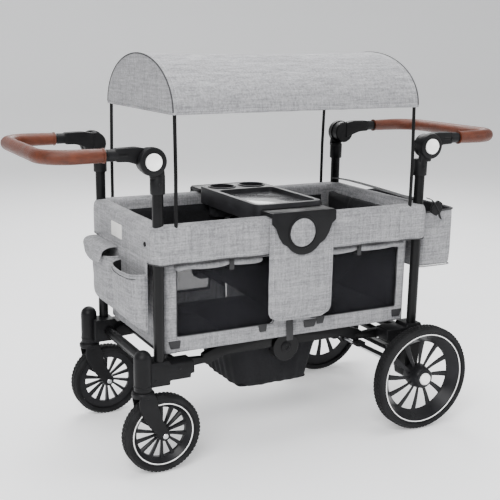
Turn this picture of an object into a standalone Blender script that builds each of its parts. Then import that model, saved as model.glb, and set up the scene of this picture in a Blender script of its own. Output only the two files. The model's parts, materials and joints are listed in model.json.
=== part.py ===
"""Folding two-seat wagon with a push handle at each end, a canopy and a centre tray.

Metres, +Z up.  The origin is on the floor under the middle of the wagon.
-X is the caster end (front), +X the big-wheel end (rear), -Y the left side.
"""

from math import cos, pi, radians, sin, tan

import bmesh
import bpy
from mathutils import Matrix, Vector

# ---------------------------------------------------------------- sizes
GAP = 0.0004            # between pieces that rest on each other
RUN = 0.0005            # radial clearance of a pin in its hole
SIDES = {"left": -1, "right": 1}
ENDS = {"front": -1, "rear": 1}

# wheels: they set the height of everything above
REAR_R = 0.159
REAR_W = 0.044
REAR_RIM_R = REAR_R - 0.019
REAR_RIM_WALL = 0.020
REAR_HUB_R = 0.030
REAR_AXLE_R = 0.006
REAR_SPOKES = 12
REAR_CAP_R = 0.018
REAR_CAP_PROUD = 0.011
FRONT_R = 0.110
FRONT_W = 0.040
FRONT_RIM_R = FRONT_R - 0.019
FRONT_RIM_WALL = 0.016
FRONT_HUB_R = 0.017
FRONT_AXLE_R = 0.004
FRONT_SPOKES = 14
TYRE_SHOULDER = 0.009

# end frames: a tube bent into a U, posts up, cross tube low
POST_X = 0.408          # posts, from the middle
POST_Y = 0.2207
POST_R = 0.0145
CROSS_Z = 2 * FRONT_R + 0.057
CORNER_R = 0.032
LUG_T = 0.0036          # plate on a post that carries a top rail
LUG_HALF = 0.011

# fold linkage
RAIL_H = 0.033
PIVOT_X = POST_X - POST_R - RAIL_H / 2 - 0.002      # outer pivots of floor and top rails
FLOOR_PIVOT_Z = CROSS_Z
TOP_PIVOT_Z = FLOOR_PIVOT_Z + 0.350
ARCH = 0.003            # the middle pivots sit this much above the outer ones
RAIL_OUT_Y = POST_Y - 0.0427    # outer face of the floor rails
RAIL_T = 0.018
RAIL_STEP = 0.0235      # how far the middle of a floor rail stands up
HUB_R = 0.041
HUB_PROUD = 0.004       # how far the hub's disc stands past the rail's face
HUB_PIN_R = 0.008
HUB_HEAD_R = 0.016
HUB_TAIL_R = 0.014
HUB_HEAD_T = 0.003
CROSS_R = 0.010         # cross tubes of the floor frames
CROSS_IN_X = PIVOT_X - 0.167
CROSS_IN_Z = FLOOR_PIVOT_Z + 0.0225
CROSS_OUT_X = PIVOT_X - 0.040
PIN_R = 0.006
TOP_RAIL_T = 0.020
TOP_RAIL_H = 0.030
TOP_RAIL_DISC_R = 0.026
TOP_PIN_R = 0.004

# lower brackets
BRACKET_IN = RAIL_OUT_Y + GAP
BRACKET_OUT = POST_Y + POST_R + 0.0015
BRACKET_TOP = CROSS_Z + 0.035
BRACKET_STEP = CROSS_Z - 0.020
BRACKET_FLOOR = CROSS_Z - 0.032
HOUSING_R = 0.024       # swivel housing of a caster
HOUSING_LOW = CROSS_Z - 0.041
HOUSING_TOP = CROSS_Z + 0.071
LEG_R = 0.022           # end of a rear bracket's leg, round the axle
STRUT_R = 0.006
SWIVEL_X = POST_X + 0.047
SWIVEL_Y = POST_Y + 0.0018

# where the wheels stand, and the casters' forks
REAR_X = POST_X - 0.001
REAR_Y = POST_Y + 0.0593
FRONT_X = SWIVEL_X - 0.051
FRONT_Y = SWIVEL_Y
FORK_IN = FRONT_W / 2 + 0.0035  # inner face of a fork leg, from the wheel's plane
FORK_T = 0.0055
CROWN_R = 0.0305
CROWN_LOW = HOUSING_LOW - 0.0145
STEM_R = 0.008
STEM_TOP = HOUSING_LOW + 0.062
BOLT_HEAD_R = 0.0075
BOLT_HEAD_T = 0.0045

# foot brake
BRAKE_R = 0.007
BRAKE_HALF = RAIL_OUT_Y - 0.028
BRAKE_EAR_Y = (RAIL_OUT_Y - 0.058, RAIL_OUT_Y - 0.048)
BRAKE_EAR_R = 0.013
PEDAL_HALF = 0.045

# handle hinges and handles
HINGE_X = POST_X + 0.019
HINGE_Z = TOP_PIVOT_Z + 0.212
HINGE_R = 0.036
HINGE_OUT = POST_Y + 0.0253
HINGE_MID = POST_Y + 0.0055     # where the fixed half meets the turning half
HINGE_IN = POST_Y - 0.0207
POST_TOP = HINGE_Z - 0.044
SLEEVE_WALL = 0.005
BUTTON_R = 0.0215
BUTTON_PROUD = 0.0045
BUTTON_DEEP = 0.0045
BUTTON_TRAVEL = 0.003
BAR_R = 0.0135
BAR_Y = POST_Y - 0.0082
BAR_Z = HINGE_Z + 0.018
BAR_TIP_X = HINGE_X + 0.268
BAR_CORNER = 0.075
ARM_END_X = HINGE_X + 0.079
GRIP_R = 0.019
GRIP_FROM_X = HINGE_X + 0.118

# soft goods
WALL_Y = POST_Y - POST_R - 0.0027       # outside of the lower walls
WALL_X = POST_X - POST_R - 0.005
WALL_T = 0.005
TUB_LOW = FLOOR_PIVOT_Z + 0.045
BAND_TOP = TOP_PIVOT_Z + 0.046
BAND_LOW = TOP_PIVOT_Z - 0.052
BAND_Y = POST_Y + POST_R + 0.0123
BAND_X = POST_X + POST_R + 0.008
BAND_T = 0.0037
TUB_FLOOR_T = 0.004
SEAT_FROM_X = CROSS_IN_X + 0.002
SEAT_TO_X = WALL_X - 0.0365
SEAT_H = 0.048
BACK_X = (WALL_X - 0.0335, WALL_X - 0.0075)
BACK_TOP = BAND_TOP - 0.009
PAD_IN = 0.006          # pads keep this far from the side walls
WELL_X = CROSS_IN_X - 0.043
WELL_Y = RAIL_OUT_Y - 0.030
WELL_TOP = TUB_LOW + 0.008
WELL_LOW = TUB_LOW - 0.176
WELL_T = 0.006
WELL_TAPER_X = 0.26     # how much narrower the well is at its floor
WELL_TAPER_Y = 0.18
HOOP_R = 0.0048
HOOP_X = POST_X - 0.0425
HOOP_FOOT_Y = BAND_Y - BAND_T - HOOP_R - 0.001
HOOP_FOOT_Z = TOP_PIVOT_Z + 0.023
CANOPY_X = HOOP_X + HOOP_R + 0.0037
CANOPY_Y = HOOP_FOOT_Y + 0.0015
CANOPY_HEM = HINGE_Z + 0.118
CANOPY_RISE = 0.140
CANOPY_T = 0.003
CANOPY_DROP = 0.012

# tray, hangers, pockets and bags
TRAY_X = 0.106
TRAY_Y = WALL_Y - 0.013
TRAY_TOP = BAND_TOP + 0.027
TRAY_LOW = BAND_TOP - 0.025
TRAY_CORNER = 0.030
TRAY_WELL_DEEP = 0.016
CUP_X = 0.050
CUP_Y = TRAY_Y - 0.052
CUP_R = 0.0365
CUP_OUT_R = 0.0405
CUP_LOW = BAND_TOP - 0.061
CUP_FLOOR_T = 0.004
HANGER_X = 0.100
HANGER_TOP = BAND_TOP + 0.015
HANGER_T = 0.005
WINDOW_R = 0.033        # round window of a hanger
POCKET_X = 0.098
POCKET_Y = BAND_Y + 0.0008
POCKET_T = 0.0115
POCKET_LOW = TUB_LOW + 0.065
POCKET_MOUTH = TUB_LOW + 0.220
POCKET_TOP = BAND_TOP - 0.055
BAG_X = BAND_X + 0.0008
BAG_T = 0.004
REAR_BAG_X = BAND_X + 0.1355
REAR_BAG_Y = BAND_Y - 0.0425
REAR_BAG_Z = (BAND_TOP - 0.203, BAND_TOP - 0.023)
ORGANISER_X = BAND_X + 0.0435
ORGANISER_Y = (0.0475 - BAND_Y, BAND_Y - 0.0675)
ORGANISER_Z = (TUB_LOW + 0.063, BAND_LOW - 0.015)
ORGANISER_SPLIT = (-0.006, 0.002)


# ---------------------------------------------------------------- helpers
def clear_scene():
    for obj in list(bpy.data.objects):
        bpy.data.objects.remove(obj, do_unlink=True)


MATERIALS = {
    "black_metal": ((0.018, 0.018, 0.020), 0.35, 0.6),
    "black_plastic": ((0.022, 0.022, 0.024), 0.45, 0.0),
    "white_plastic": ((0.80, 0.80, 0.78), 0.35, 0.0),
    "steel": ((0.62, 0.63, 0.65), 0.25, 1.0),
    "tyre": ((0.020, 0.020, 0.021), 0.75, 0.0),
    "grip_leather": ((0.20, 0.065, 0.035), 0.45, 0.0),
    "grey_fabric": ((0.30, 0.31, 0.33), 0.90, 0.0),
    "black_fabric": ((0.020, 0.020, 0.022), 0.90, 0.0),
}


def material(name):
    found = bpy.data.materials.get(name)
    if found:
        return found
    colour, rough, metallic = MATERIALS[name]
    made = bpy.data.materials.new(name)
    made.use_nodes = True
    shader = made.node_tree.nodes["Principled BSDF"]
    shader.inputs["Base Color"].default_value = (*colour, 1)
    shader.inputs["Roughness"].default_value = rough
    shader.inputs["Metallic"].default_value = metallic
    return made


def add_object(name, data, finish, cutter=False):
    """Links data as an object; a cutter is a helper that no render shows."""
    obj = bpy.data.objects.new(name, data)
    bpy.context.scene.collection.objects.link(obj)
    if cutter:
        obj.hide_render = True
        obj.display_type = "WIRE"
    else:
        data.materials.append(material(finish))
    return obj


def add_mesh(name, bm, finish, cutter=False):
    bmesh.ops.recalc_face_normals(bm, faces=bm.faces)
    mesh = bpy.data.meshes.new(name)
    bm.to_mesh(mesh)
    bm.free()
    mesh.shade_smooth()
    mesh.set_sharp_from_angle(angle=radians(35))
    return add_object(name, mesh, finish, cutter)


def set_origin(obj, point):
    """Puts obj's origin at point and leaves its shape where it is."""
    obj.data.transform(Matrix.Translation(-Vector(point)))
    obj.location = point


def cell_solid(name, us, vs, ws, filled, place, finish, wrap=False, cutter=False):
    """Solid made of cells: us, vs and ws are the cell borders, filled(i, j, k) says
    which cells hold material, and place(u, v, w) gives a border point in space.
    With wrap the last v border is the first one again."""
    bm = bmesh.new()
    points = {}
    nv = len(vs) if wrap else len(vs) - 1

    def point(i, j, k):
        j = j % len(vs) if wrap else j
        if (i, j, k) not in points:
            points[i, j, k] = bm.verts.new(place(us[i], vs[j], ws[k]))
        return points[i, j, k]

    def solid(i, j, k):
        if wrap:
            j %= nv
        inside = 0 <= i < len(us) - 1 and 0 <= j < nv and 0 <= k < len(ws) - 1
        return inside and filled(i, j, k)

    for i in range(len(us) - 1):
        for j in range(nv):
            for k in range(len(ws) - 1):
                if not solid(i, j, k):
                    continue
                c = [[[point(i + a, j + b, k + d) for d in (0, 1)] for b in (0, 1)]
                     for a in (0, 1)]
                sides = (
                    ((-1, 0, 0), (c[0][0][0], c[0][0][1], c[0][1][1], c[0][1][0])),
                    ((1, 0, 0), (c[1][0][0], c[1][1][0], c[1][1][1], c[1][0][1])),
                    ((0, -1, 0), (c[0][0][0], c[1][0][0], c[1][0][1], c[0][0][1])),
                    ((0, 1, 0), (c[0][1][0], c[0][1][1], c[1][1][1], c[1][1][0])),
                    ((0, 0, -1), (c[0][0][0], c[0][1][0], c[1][1][0], c[1][0][0])),
                    ((0, 0, 1), (c[0][0][1], c[1][0][1], c[1][1][1], c[0][1][1])),
                )
                for (di, dj, dk), corners in sides:
                    if not solid(i + di, j + dj, k + dk):
                        bm.faces.new(corners)
    return add_mesh(name, bm, finish, cutter)


def block_solid(name, blocks, finish, holes=(), cutter=False):
    """Union of axis-aligned blocks ((x0, x1), (y0, y1), (z0, z1)), less the holes."""
    borders = [sorted({v for b in (*blocks, *holes) for v in b[axis]}) for axis in range(3)]

    def inside(boxes, i, j, k):
        mid = [(b[n] + b[n + 1]) / 2 for b, n in zip(borders, (i, j, k))]
        return any(all(lo < m < hi for m, (lo, hi) in zip(mid, box)) for box in boxes)

    def filled(i, j, k):
        return inside(blocks, i, j, k) and not inside(holes, i, j, k)

    return cell_solid(name, *borders, filled, lambda x, y, z: (x, y, z), finish,
                      cutter=cutter)


def span(a, b):
    return (min(a, b), max(a, b))


def prism(name, outline, axis, low, high, finish, cutter=False, bevel=0.0):
    """Extrudes a closed outline along X, Y or Z.  The outline's two numbers are the
    other two coordinates in X, Y, Z order."""
    bm = bmesh.new()
    order = {"X": (2, 0, 1), "Y": (0, 2, 1), "Z": (0, 1, 2)}[axis]
    low, high = span(low, high)

    def place(p, along):
        values = (p[0], p[1], along)
        return [values[n] for n in order]

    bottom = [bm.verts.new(place(p, low)) for p in outline]
    top = [bm.verts.new(place(p, high)) for p in outline]
    bm.faces.new(bottom)
    bm.faces.new(top)
    for n in range(len(outline)):
        m = (n + 1) % len(outline)
        bm.faces.new((bottom[n], bottom[m], top[m], top[n]))
    obj = add_mesh(name, bm, finish, cutter)
    if bevel:
        edge = obj.modifiers.new("edge", "BEVEL")
        edge.width = bevel
        edge.segments = 2
        edge.limit_method = "ANGLE"
        edge.angle_limit = radians(50)
    return obj


def arc(centre, radius, start, end, steps):
    """Points of an arc in a plane, angles in degrees."""
    return [(centre[0] + radius * cos(radians(start + (end - start) * n / steps)),
             centre[1] + radius * sin(radians(start + (end - start) * n / steps)))
            for n in range(steps + 1)]


def turned(name, profile, centre, axis, finish, steps=16, cutter=False):
    """Turns a closed profile of (radius, along) points about an axis through centre.
    A profile that touches radius 0 twice is a solid of revolution."""
    bm = bmesh.new()
    across = {"X": (Vector((0, 1, 0)), Vector((0, 0, 1)), Vector((1, 0, 0))),
              "Y": (Vector((0, 0, 1)), Vector((1, 0, 0)), Vector((0, 1, 0))),
              "Z": (Vector((1, 0, 0)), Vector((0, 1, 0)), Vector((0, 0, 1)))}[axis]
    rings = []
    for radius, along in profile:
        mid = Vector(centre) + across[2] * along
        if radius < 1e-6:
            rings.append([bm.verts.new(mid)])
            continue
        rings.append([bm.verts.new(mid + across[0] * radius * cos(2 * pi * n / steps)
                                   + across[1] * radius * sin(2 * pi * n / steps))
                      for n in range(steps)])
    closed = profile[0][0] > 1e-6 or profile[-1][0] > 1e-6
    last = len(rings) if closed else len(rings) - 1
    for m in range(last):
        a, b = rings[m], rings[(m + 1) % len(rings)]
        for n in range(steps):
            corners = [a[n % len(a)], a[(n + 1) % len(a)], b[(n + 1) % len(b)], b[n % len(b)]]
            corners = list(dict.fromkeys(corners))
            if len(corners) > 2:
                bm.faces.new(corners)
    return add_mesh(name, bm, finish, cutter)


def cylinder(name, radius, centre, axis, low, high, finish="black_metal", steps=16,
             cutter=False):
    low, high = span(low, high)
    return turned(name, [(0, low), (radius, low), (radius, high), (0, high)], centre,
                  axis, finish, steps, cutter)


def rounded_path(corners, radius, steps=5):
    """A polyline whose inner corners are arcs of the given radius."""
    points = [Vector(corners[0])]
    for before, corner, after in zip(corners, corners[1:], corners[2:]):
        corner = Vector(corner)
        a = (Vector(before) - corner).normalized()
        b = (Vector(after) - corner).normalized()
        half = a.angle(b) / 2
        middle = corner + (a + b).normalized() * radius / sin(half)
        start = corner + a * radius / tan(half) - middle
        end = corner + b * radius / tan(half) - middle
        turn = pi - 2 * half
        for n in range(steps + 1):
            share = n / steps
            points.append(middle + (start * sin((1 - share) * turn) + end * sin(share * turn))
                          / sin(turn))
    points.append(Vector(corners[-1]))
    return points


def frames_along(points):
    """Two cross vectors at each point of a planar path, for sweeping a section."""
    normal = Vector((0, 0, 0))
    for a, b, c in zip(points, points[1:], points[2:]):
        normal += (b - a).cross(c - b)
    normal.normalize()
    found = []
    for n, point in enumerate(points):
        ahead = points[min(n + 1, len(points) - 1)] - point
        behind = point - points[max(n - 1, 0)]
        if n == 0:
            behind = ahead
        if n == len(points) - 1:
            ahead = behind
        tangent = (ahead.normalized() + behind.normalized()).normalized()
        stretch = 1 / max(0.5, tangent.dot(ahead.normalized()))
        found.append((tangent.cross(normal) * stretch, normal))
    return found


def swept(name, points, outer, finish, inner=0.0, sides=8, cutter=False):
    """A tube along a planar path: solid with inner 0, else a sleeve with open ends."""
    points = [Vector(p) for p in points]
    frames = frames_along(points)
    bm = bmesh.new()

    def ring(n, radius):
        across, up = frames[n]
        return [bm.verts.new(points[n] + across * radius * cos(2 * pi * k / sides)
                             + up * radius * sin(2 * pi * k / sides))
                for k in range(sides)]

    def skin(rings):
        for a, b in zip(rings, rings[1:]):
            for k in range(sides):
                bm.faces.new((a[k], a[(k + 1) % sides], b[(k + 1) % sides], b[k]))

    outside = [ring(n, outer) for n in range(len(points))]
    skin(outside)
    if inner:
        inside = [ring(n, inner) for n in range(len(points))]
        skin(inside)
        for a, b in ((outside[0], inside[0]), (outside[-1], inside[-1])):
            for k in range(sides):
                bm.faces.new((a[k], a[(k + 1) % sides], b[(k + 1) % sides], b[k]))
    else:
        bm.faces.new(outside[0])
        bm.faces.new(outside[-1])
    return add_mesh(name, bm, finish, cutter)


def boolean(obj, operation, tools):
    for tool in tools:
        step = obj.modifiers.new(operation.lower(), "BOOLEAN")
        step.operation = operation
        step.solver = "EXACT"
        step.object = tool
        tool.hide_render = True
        tool.display_type = "WIRE"


def unite(obj, *tools):
    boolean(obj, "UNION", tools)


def cut(obj, *tools):
    boolean(obj, "DIFFERENCE", tools)


# ---------------------------------------------------------------- end frames
def frame_path(end):
    """Centre line of an end frame's tube."""
    x = end * POST_X
    corners = [(x, -POST_Y, POST_TOP), (x, -POST_Y, CROSS_Z),
               (x, POST_Y, CROSS_Z), (x, POST_Y, POST_TOP)]
    return rounded_path(corners, CORNER_R)


def top_lug(name, end, side):
    """Plate on a post's outer face that carries a top rail's pivot."""
    out = POST_Y + POST_R
    plate = prism(name + "_lug_plate",
                  [(end * POST_X, TOP_PIVOT_Z - LUG_HALF),
                   (end * PIVOT_X, TOP_PIVOT_Z - LUG_HALF),
                   *[(end * x, z) for x, z in
                     arc((PIVOT_X, TOP_PIVOT_Z), LUG_HALF, 250, 110, 5)],
                   (end * PIVOT_X, TOP_PIVOT_Z + LUG_HALF),
                   (end * POST_X, TOP_PIVOT_Z + LUG_HALF)],
                  "Y", side * (out - LUG_T), side * out, "black_metal", cutter=True)
    hole = cylinder(name + "_lug_hole", TOP_PIN_R + RUN, (end * PIVOT_X, 0, TOP_PIVOT_Z),
                    "Y", side * (out - 0.012), side * (out + 0.01), cutter=True, steps=12)
    return plate, hole


def end_frames():
    for end_name, end in ENDS.items():
        tube = swept(f"{end_name}_frame", frame_path(end), POST_R, "black_metal")
        for side_name, side in SIDES.items():
            plate, hole = top_lug(f"{end_name}_{side_name}", end, side)
            unite(tube, plate)
            cut(tube, hole)


# ---------------------------------------------------------------- brackets
def step_outline(end):
    """Lower edge of a bracket, from the middle of the wagon out, in three steps."""
    return [(end * (POST_X - back), CROSS_Z + rise)
            for back, rise in ((0.096, 0.026), (0.096, -0.008), (0.086, -0.008),
                               (0.086, -0.020), (0.046, -0.020))]


def bracket_cuts(name, end, side):
    """Holes for the end frame's tube and for the floor rail's pivot pin."""
    tube = swept(name + "_tube_hole", frame_path(end), POST_R + GAP, "black_metal",
                 cutter=True)
    pin = cylinder(name + "_pin_hole", PIN_R + RUN, (end * PIVOT_X, 0, FLOOR_PIVOT_Z), "Y",
                   side * (BRACKET_IN - 0.01), side * (BRACKET_IN + 0.0145), cutter=True)
    return tube, pin


def caster_brackets():
    """Moulded front bracket with the swivel housing on its outer end."""
    for side_name, side in SIDES.items():
        name = f"caster_bracket_{side_name}"
        near, far, shoulder = POST_X - 0.026, POST_X + 0.042, POST_X - 0.022
        outline = step_outline(-1) + [(-near, BRACKET_STEP), (-near, BRACKET_FLOOR),
                                      (-far, BRACKET_FLOOR), (-far, BRACKET_TOP),
                                      (-shoulder, BRACKET_TOP),
                                      (0.006 - shoulder, BRACKET_TOP - 0.009)]
        body = prism(name, outline, "Y", side * BRACKET_IN, side * BRACKET_OUT,
                     "black_plastic")
        centre = (-SWIVEL_X, side * SWIVEL_Y, 0)
        dome = [(0, HOUSING_LOW), (HOUSING_R, HOUSING_LOW), (HOUSING_R, HOUSING_TOP - 0.023),
                (HOUSING_R - 0.003, HOUSING_TOP - 0.011),
                (HOUSING_R - 0.010, HOUSING_TOP - 0.003), (0, HOUSING_TOP)]
        housing = turned(name + "_housing", dome, centre, "Z", "black_plastic",
                         cutter=True)
        bore = cylinder(name + "_bore", STEM_R + RUN, centre, "Z", HOUSING_LOW - 0.01,
                        STEM_TOP + 0.004, cutter=True)
        unite(body, housing)
        cut(body, bore, *bracket_cuts(name, -1, side))


def rear_brackets():
    """Moulded rear bracket: post socket, axle leg, and a strut with the rail's rest."""
    for side_name, side in SIDES.items():
        name = f"rear_bracket_{side_name}"
        leg = arc((REAR_X, REAR_R), LEG_R, 205, 335, 7)
        far, shoulder = POST_X + 0.0265, POST_X - 0.022
        outline = step_outline(1) + [(POST_X - 0.030, CROSS_Z - 0.042), *leg,
                                     (far, BRACKET_FLOOR), (far, BRACKET_TOP),
                                     (shoulder, BRACKET_TOP),
                                     (shoulder - 0.006, BRACKET_TOP - 0.009)]
        body = prism(name, outline, "Y", side * BRACKET_IN, side * BRACKET_OUT,
                     "black_plastic")
        strut_y = side * (RAIL_OUT_Y + 0.0085)
        rest_low = floor_rail_low() - 0.013
        foot = Vector((REAR_X - 0.015, strut_y, REAR_R + 0.0175))
        head = Vector((PIVOT_X - 0.125, strut_y, rest_low + 0.007))
        middle = (foot + head) / 2 + Vector((-0.001, 0, 0.001))
        strut = swept(name + "_strut", [foot, middle, head], STRUT_R, "black_metal",
                      cutter=True)
        rest = block_solid(name + "_rest", [((PIVOT_X - 0.135, PIVOT_X - 0.107),
                                             span(side * (RAIL_OUT_Y - 0.017),
                                                  side * (RAIL_OUT_Y + 0.014)),
                                             (rest_low, floor_rail_low() - GAP))],
                           "black_plastic", cutter=True)
        axle = cylinder(name + "_axle_hole", REAR_AXLE_R + GAP, (REAR_X, 0, REAR_R), "Y",
                        side * (BRACKET_IN - 0.03), side * (BRACKET_OUT + 0.02),
                        cutter=True)
        unite(body, strut, rest)
        cut(body, axle, *bracket_cuts(name, 1, side))


# ---------------------------------------------------------------- fold linkage
def floor_rail_low():
    return FLOOR_PIVOT_Z - RAIL_H / 2


def rail_side(end, inner_x):
    """Side view of half a floor rail: round outer end, low run, step up, and a square
    inner end at inner_x."""
    low = floor_rail_low()
    rise = low + RAIL_STEP
    high = rise + RAIL_H - 0.002
    outer = arc((PIVOT_X, FLOOR_PIVOT_Z), RAIL_H / 2, -90, 90, 6)
    step_out, step_in = PIVOT_X - 0.113, PIVOT_X - 0.173
    points = outer + [(step_out, low + RAIL_H), (step_in, high), (inner_x, high),
                      (inner_x, rise), (step_in - 0.012, rise), (step_out - 0.012, low)]
    return [(end * x, z) for x, z in points]


def floor_frames():
    """Each half: two side rails and two cross tubes, which carry a seat's floor.  At the
    hub the rear rails keep their outer half and the front rails their inner half."""
    mid = RAIL_OUT_Y - RAIL_T / 2
    inner = RAIL_OUT_Y - RAIL_T
    hub = (0, 0, FLOOR_PIVOT_Z + ARCH)
    reach = mid - 0.003
    for end_name, end in ENDS.items():
        lap = (mid + GAP / 2, RAIL_OUT_Y) if end > 0 else (inner, mid - GAP / 2)
        disc = (lap[0], RAIL_OUT_Y + HUB_PROUD) if end > 0 else (inner - HUB_PROUD, lap[1])
        full = (inner, mid + 0.004) if end > 0 else (mid - 0.004, RAIL_OUT_Y)
        joined, holes = [], []
        for side_name, side in SIDES.items():
            tag = f"{end_name}_rail_{side_name}"
            joined += [
                prism(tag + "_run", rail_side(end, HUB_R + 0.004), "Y", side * full[0],
                      side * full[1], "black_metal", cutter=True),
                prism(tag + "_lap", rail_side(end, 0.018), "Y", side * lap[0],
                      side * lap[1], "black_metal", cutter=True),
                cylinder(tag + "_hub", HUB_R, hub, "Y", side * disc[0], side * disc[1],
                         steps=20, cutter=True),
                cylinder(tag + "_pin", PIN_R, (end * PIVOT_X, 0, FLOOR_PIVOT_Z), "Y",
                         side * (RAIL_OUT_Y - 0.006), side * (RAIL_OUT_Y + 0.013),
                         cutter=True),
            ]
            holes.append(cylinder(tag + "_hub_hole", HUB_PIN_R + RUN, hub, "Y",
                                  side * (inner - 0.02), side * (RAIL_OUT_Y + 0.022),
                                  cutter=True))
        frame = cylinder(f"{end_name}_floor_frame", CROSS_R, (end * CROSS_IN_X, 0, CROSS_IN_Z),
                         "Y", -reach, reach, steps=12)
        second = cylinder(f"{end_name}_cross", CROSS_R, (end * CROSS_OUT_X, 0, FLOOR_PIVOT_Z),
                          "Y", -reach, reach, steps=12, cutter=True)
        unite(frame, *joined, second)
        cut(frame, *holes)
        set_origin(frame, (end * PIVOT_X, 0, FLOOR_PIVOT_Z) if end > 0 else hub)
    for side_name, side in SIDES.items():
        low = side * (inner - HUB_PROUD - GAP)
        high = side * (RAIL_OUT_Y + HUB_PROUD + GAP)
        head = side * HUB_HEAD_T
        profile = [(0, low - head), (HUB_TAIL_R, low - head), (HUB_TAIL_R, low),
                   (HUB_PIN_R, low), (HUB_PIN_R, high), (HUB_HEAD_R, high),
                   (HUB_HEAD_R, high + head), (0, high + head)]
        turned(f"floor_pivot_{side_name}", profile, hub, "Y", "black_metal")


def top_rails():
    """Top rails with a half-lap disc at the middle pivot and a pin in the post's lug."""
    half = TOP_RAIL_H / 2
    centre = (0, TOP_PIVOT_Z + ARCH)
    lap_from = 2 * TOP_RAIL_H
    for end_name, end in ENDS.items():
        for side_name, side in SIDES.items():
            name = f"{end_name}_top_rail_{side_name}"
            inner = POST_Y + POST_R - LUG_T - GAP - TOP_RAIL_T
            outer = inner + TOP_RAIL_T
            mid = (inner + outer) / 2
            tip = arc((PIVOT_X, TOP_PIVOT_Z), half * 0.93, -90, 90, 6)
            stop = TOP_RAIL_DISC_R + 0.004
            run = [(end * x, z) for x, z in tip] + [
                (end * stop, centre[1] + half), (end * stop, centre[1] - half)]
            rail = prism(name, run, "Y", side * inner, side * outer, "black_metal")
            lap = [(end * x, z) for x, z in arc(centre, TOP_RAIL_DISC_R, 35, 325, 12)]
            lap = [(end * lap_from, centre[1] + half - 0.001)] + lap + [
                (end * lap_from, centre[1] - half + 0.001)]
            lap_y = (mid + GAP / 2, outer - GAP) if end > 0 else (inner + GAP, mid - GAP / 2)
            plate = prism(name + "_lap", lap, "Y", side * lap_y[0], side * lap_y[1],
                          "black_metal", cutter=True)
            pin = cylinder(name + "_pin", TOP_PIN_R, (end * PIVOT_X, 0, TOP_PIVOT_Z), "Y",
                           side * (outer - 0.004), side * (outer + LUG_T + 2 * GAP + 0.0015),
                           cutter=True, steps=12)
            unite(rail, plate, pin)
            set_origin(rail, (end * PIVOT_X, side * POST_Y, TOP_PIVOT_Z) if end > 0
                       else (0, side * POST_Y, TOP_PIVOT_Z + ARCH))


# ---------------------------------------------------------------- wheels
def spoked_rim(name, centre, rim_r, rim_in, hub_r, bore_r, spokes, rim_w, hub, spoke_w,
               share):
    """Rim, spokes and hub in one.  hub is its span along the axle, from the wheel's
    middle, and share is how much of the turn a spoke fills."""
    turns = [2 * pi * (n + part) / spokes
             for n in range(spokes) for part in (0, share)]
    across = [hub[0], -rim_w / 2, -spoke_w / 2, spoke_w / 2, rim_w / 2, hub[1]]
    radii = [bore_r, hub_r, rim_in, rim_r]

    def filled(i, j, k):
        if i == 0:
            return True
        if i == 2:
            return 1 <= k <= 3
        return k == 2 and j % 2 == 0

    def place(radius, turn, along):
        return (centre[0] + radius * sin(turn), centre[1] + along,
                centre[2] + radius * cos(turn))

    rim = cell_solid(name, radii, turns, across, filled, place, "black_plastic", wrap=True)
    set_origin(rim, centre)
    return rim


def tyre(name, centre, radius, rim_r, width):
    steps = 24
    half = width / 2
    low = (rim_r + GAP) / cos(pi / steps)
    shoulder = radius - TYRE_SHOULDER
    profile = [(low, -half * 0.80), (shoulder, -half), (radius, -half * 0.55),
               (radius, half * 0.55), (shoulder, half), (low, half * 0.80)]
    body = turned(name, profile, centre, "Y", "tyre", steps=steps)
    set_origin(body, centre)
    return body


def rear_wheels():
    hub_in = BRACKET_OUT + 0.001
    hub_out = REAR_Y + REAR_W / 2 - 0.002
    for side_name, side in SIDES.items():
        centre = (REAR_X, side * REAR_Y, REAR_R)
        hub = span(side * (hub_in - REAR_Y), side * (hub_out - REAR_Y))
        spoked_rim(f"rear_rim_{side_name}", centre, REAR_RIM_R, REAR_RIM_R - REAR_RIM_WALL,
                   REAR_HUB_R, REAR_AXLE_R + RUN, REAR_SPOKES, REAR_W - 0.010, hub,
                   REAR_W - 0.024, 0.30)
        tyre(f"rear_tyre_{side_name}", centre, REAR_R, REAR_RIM_R, REAR_W)
        cap_in = side * (hub_out + GAP)
        cap = turned(f"rear_hub_cap_{side_name}",
                     [(0, cap_in), (REAR_CAP_R, cap_in),
                      (REAR_CAP_R, cap_in + side * (REAR_CAP_PROUD - 0.005)),
                      (REAR_CAP_R - 0.004, cap_in + side * (REAR_CAP_PROUD - 0.0015)),
                      (0, cap_in + side * REAR_CAP_PROUD)],
                     (REAR_X, 0, REAR_R), "Y", "white_plastic", steps=20)
        set_origin(cap, centre)
    reach = hub_out - 0.0003
    cylinder("rear_axle", REAR_AXLE_R, (REAR_X, 0, REAR_R), "Y", -reach, reach, "steel")


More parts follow.
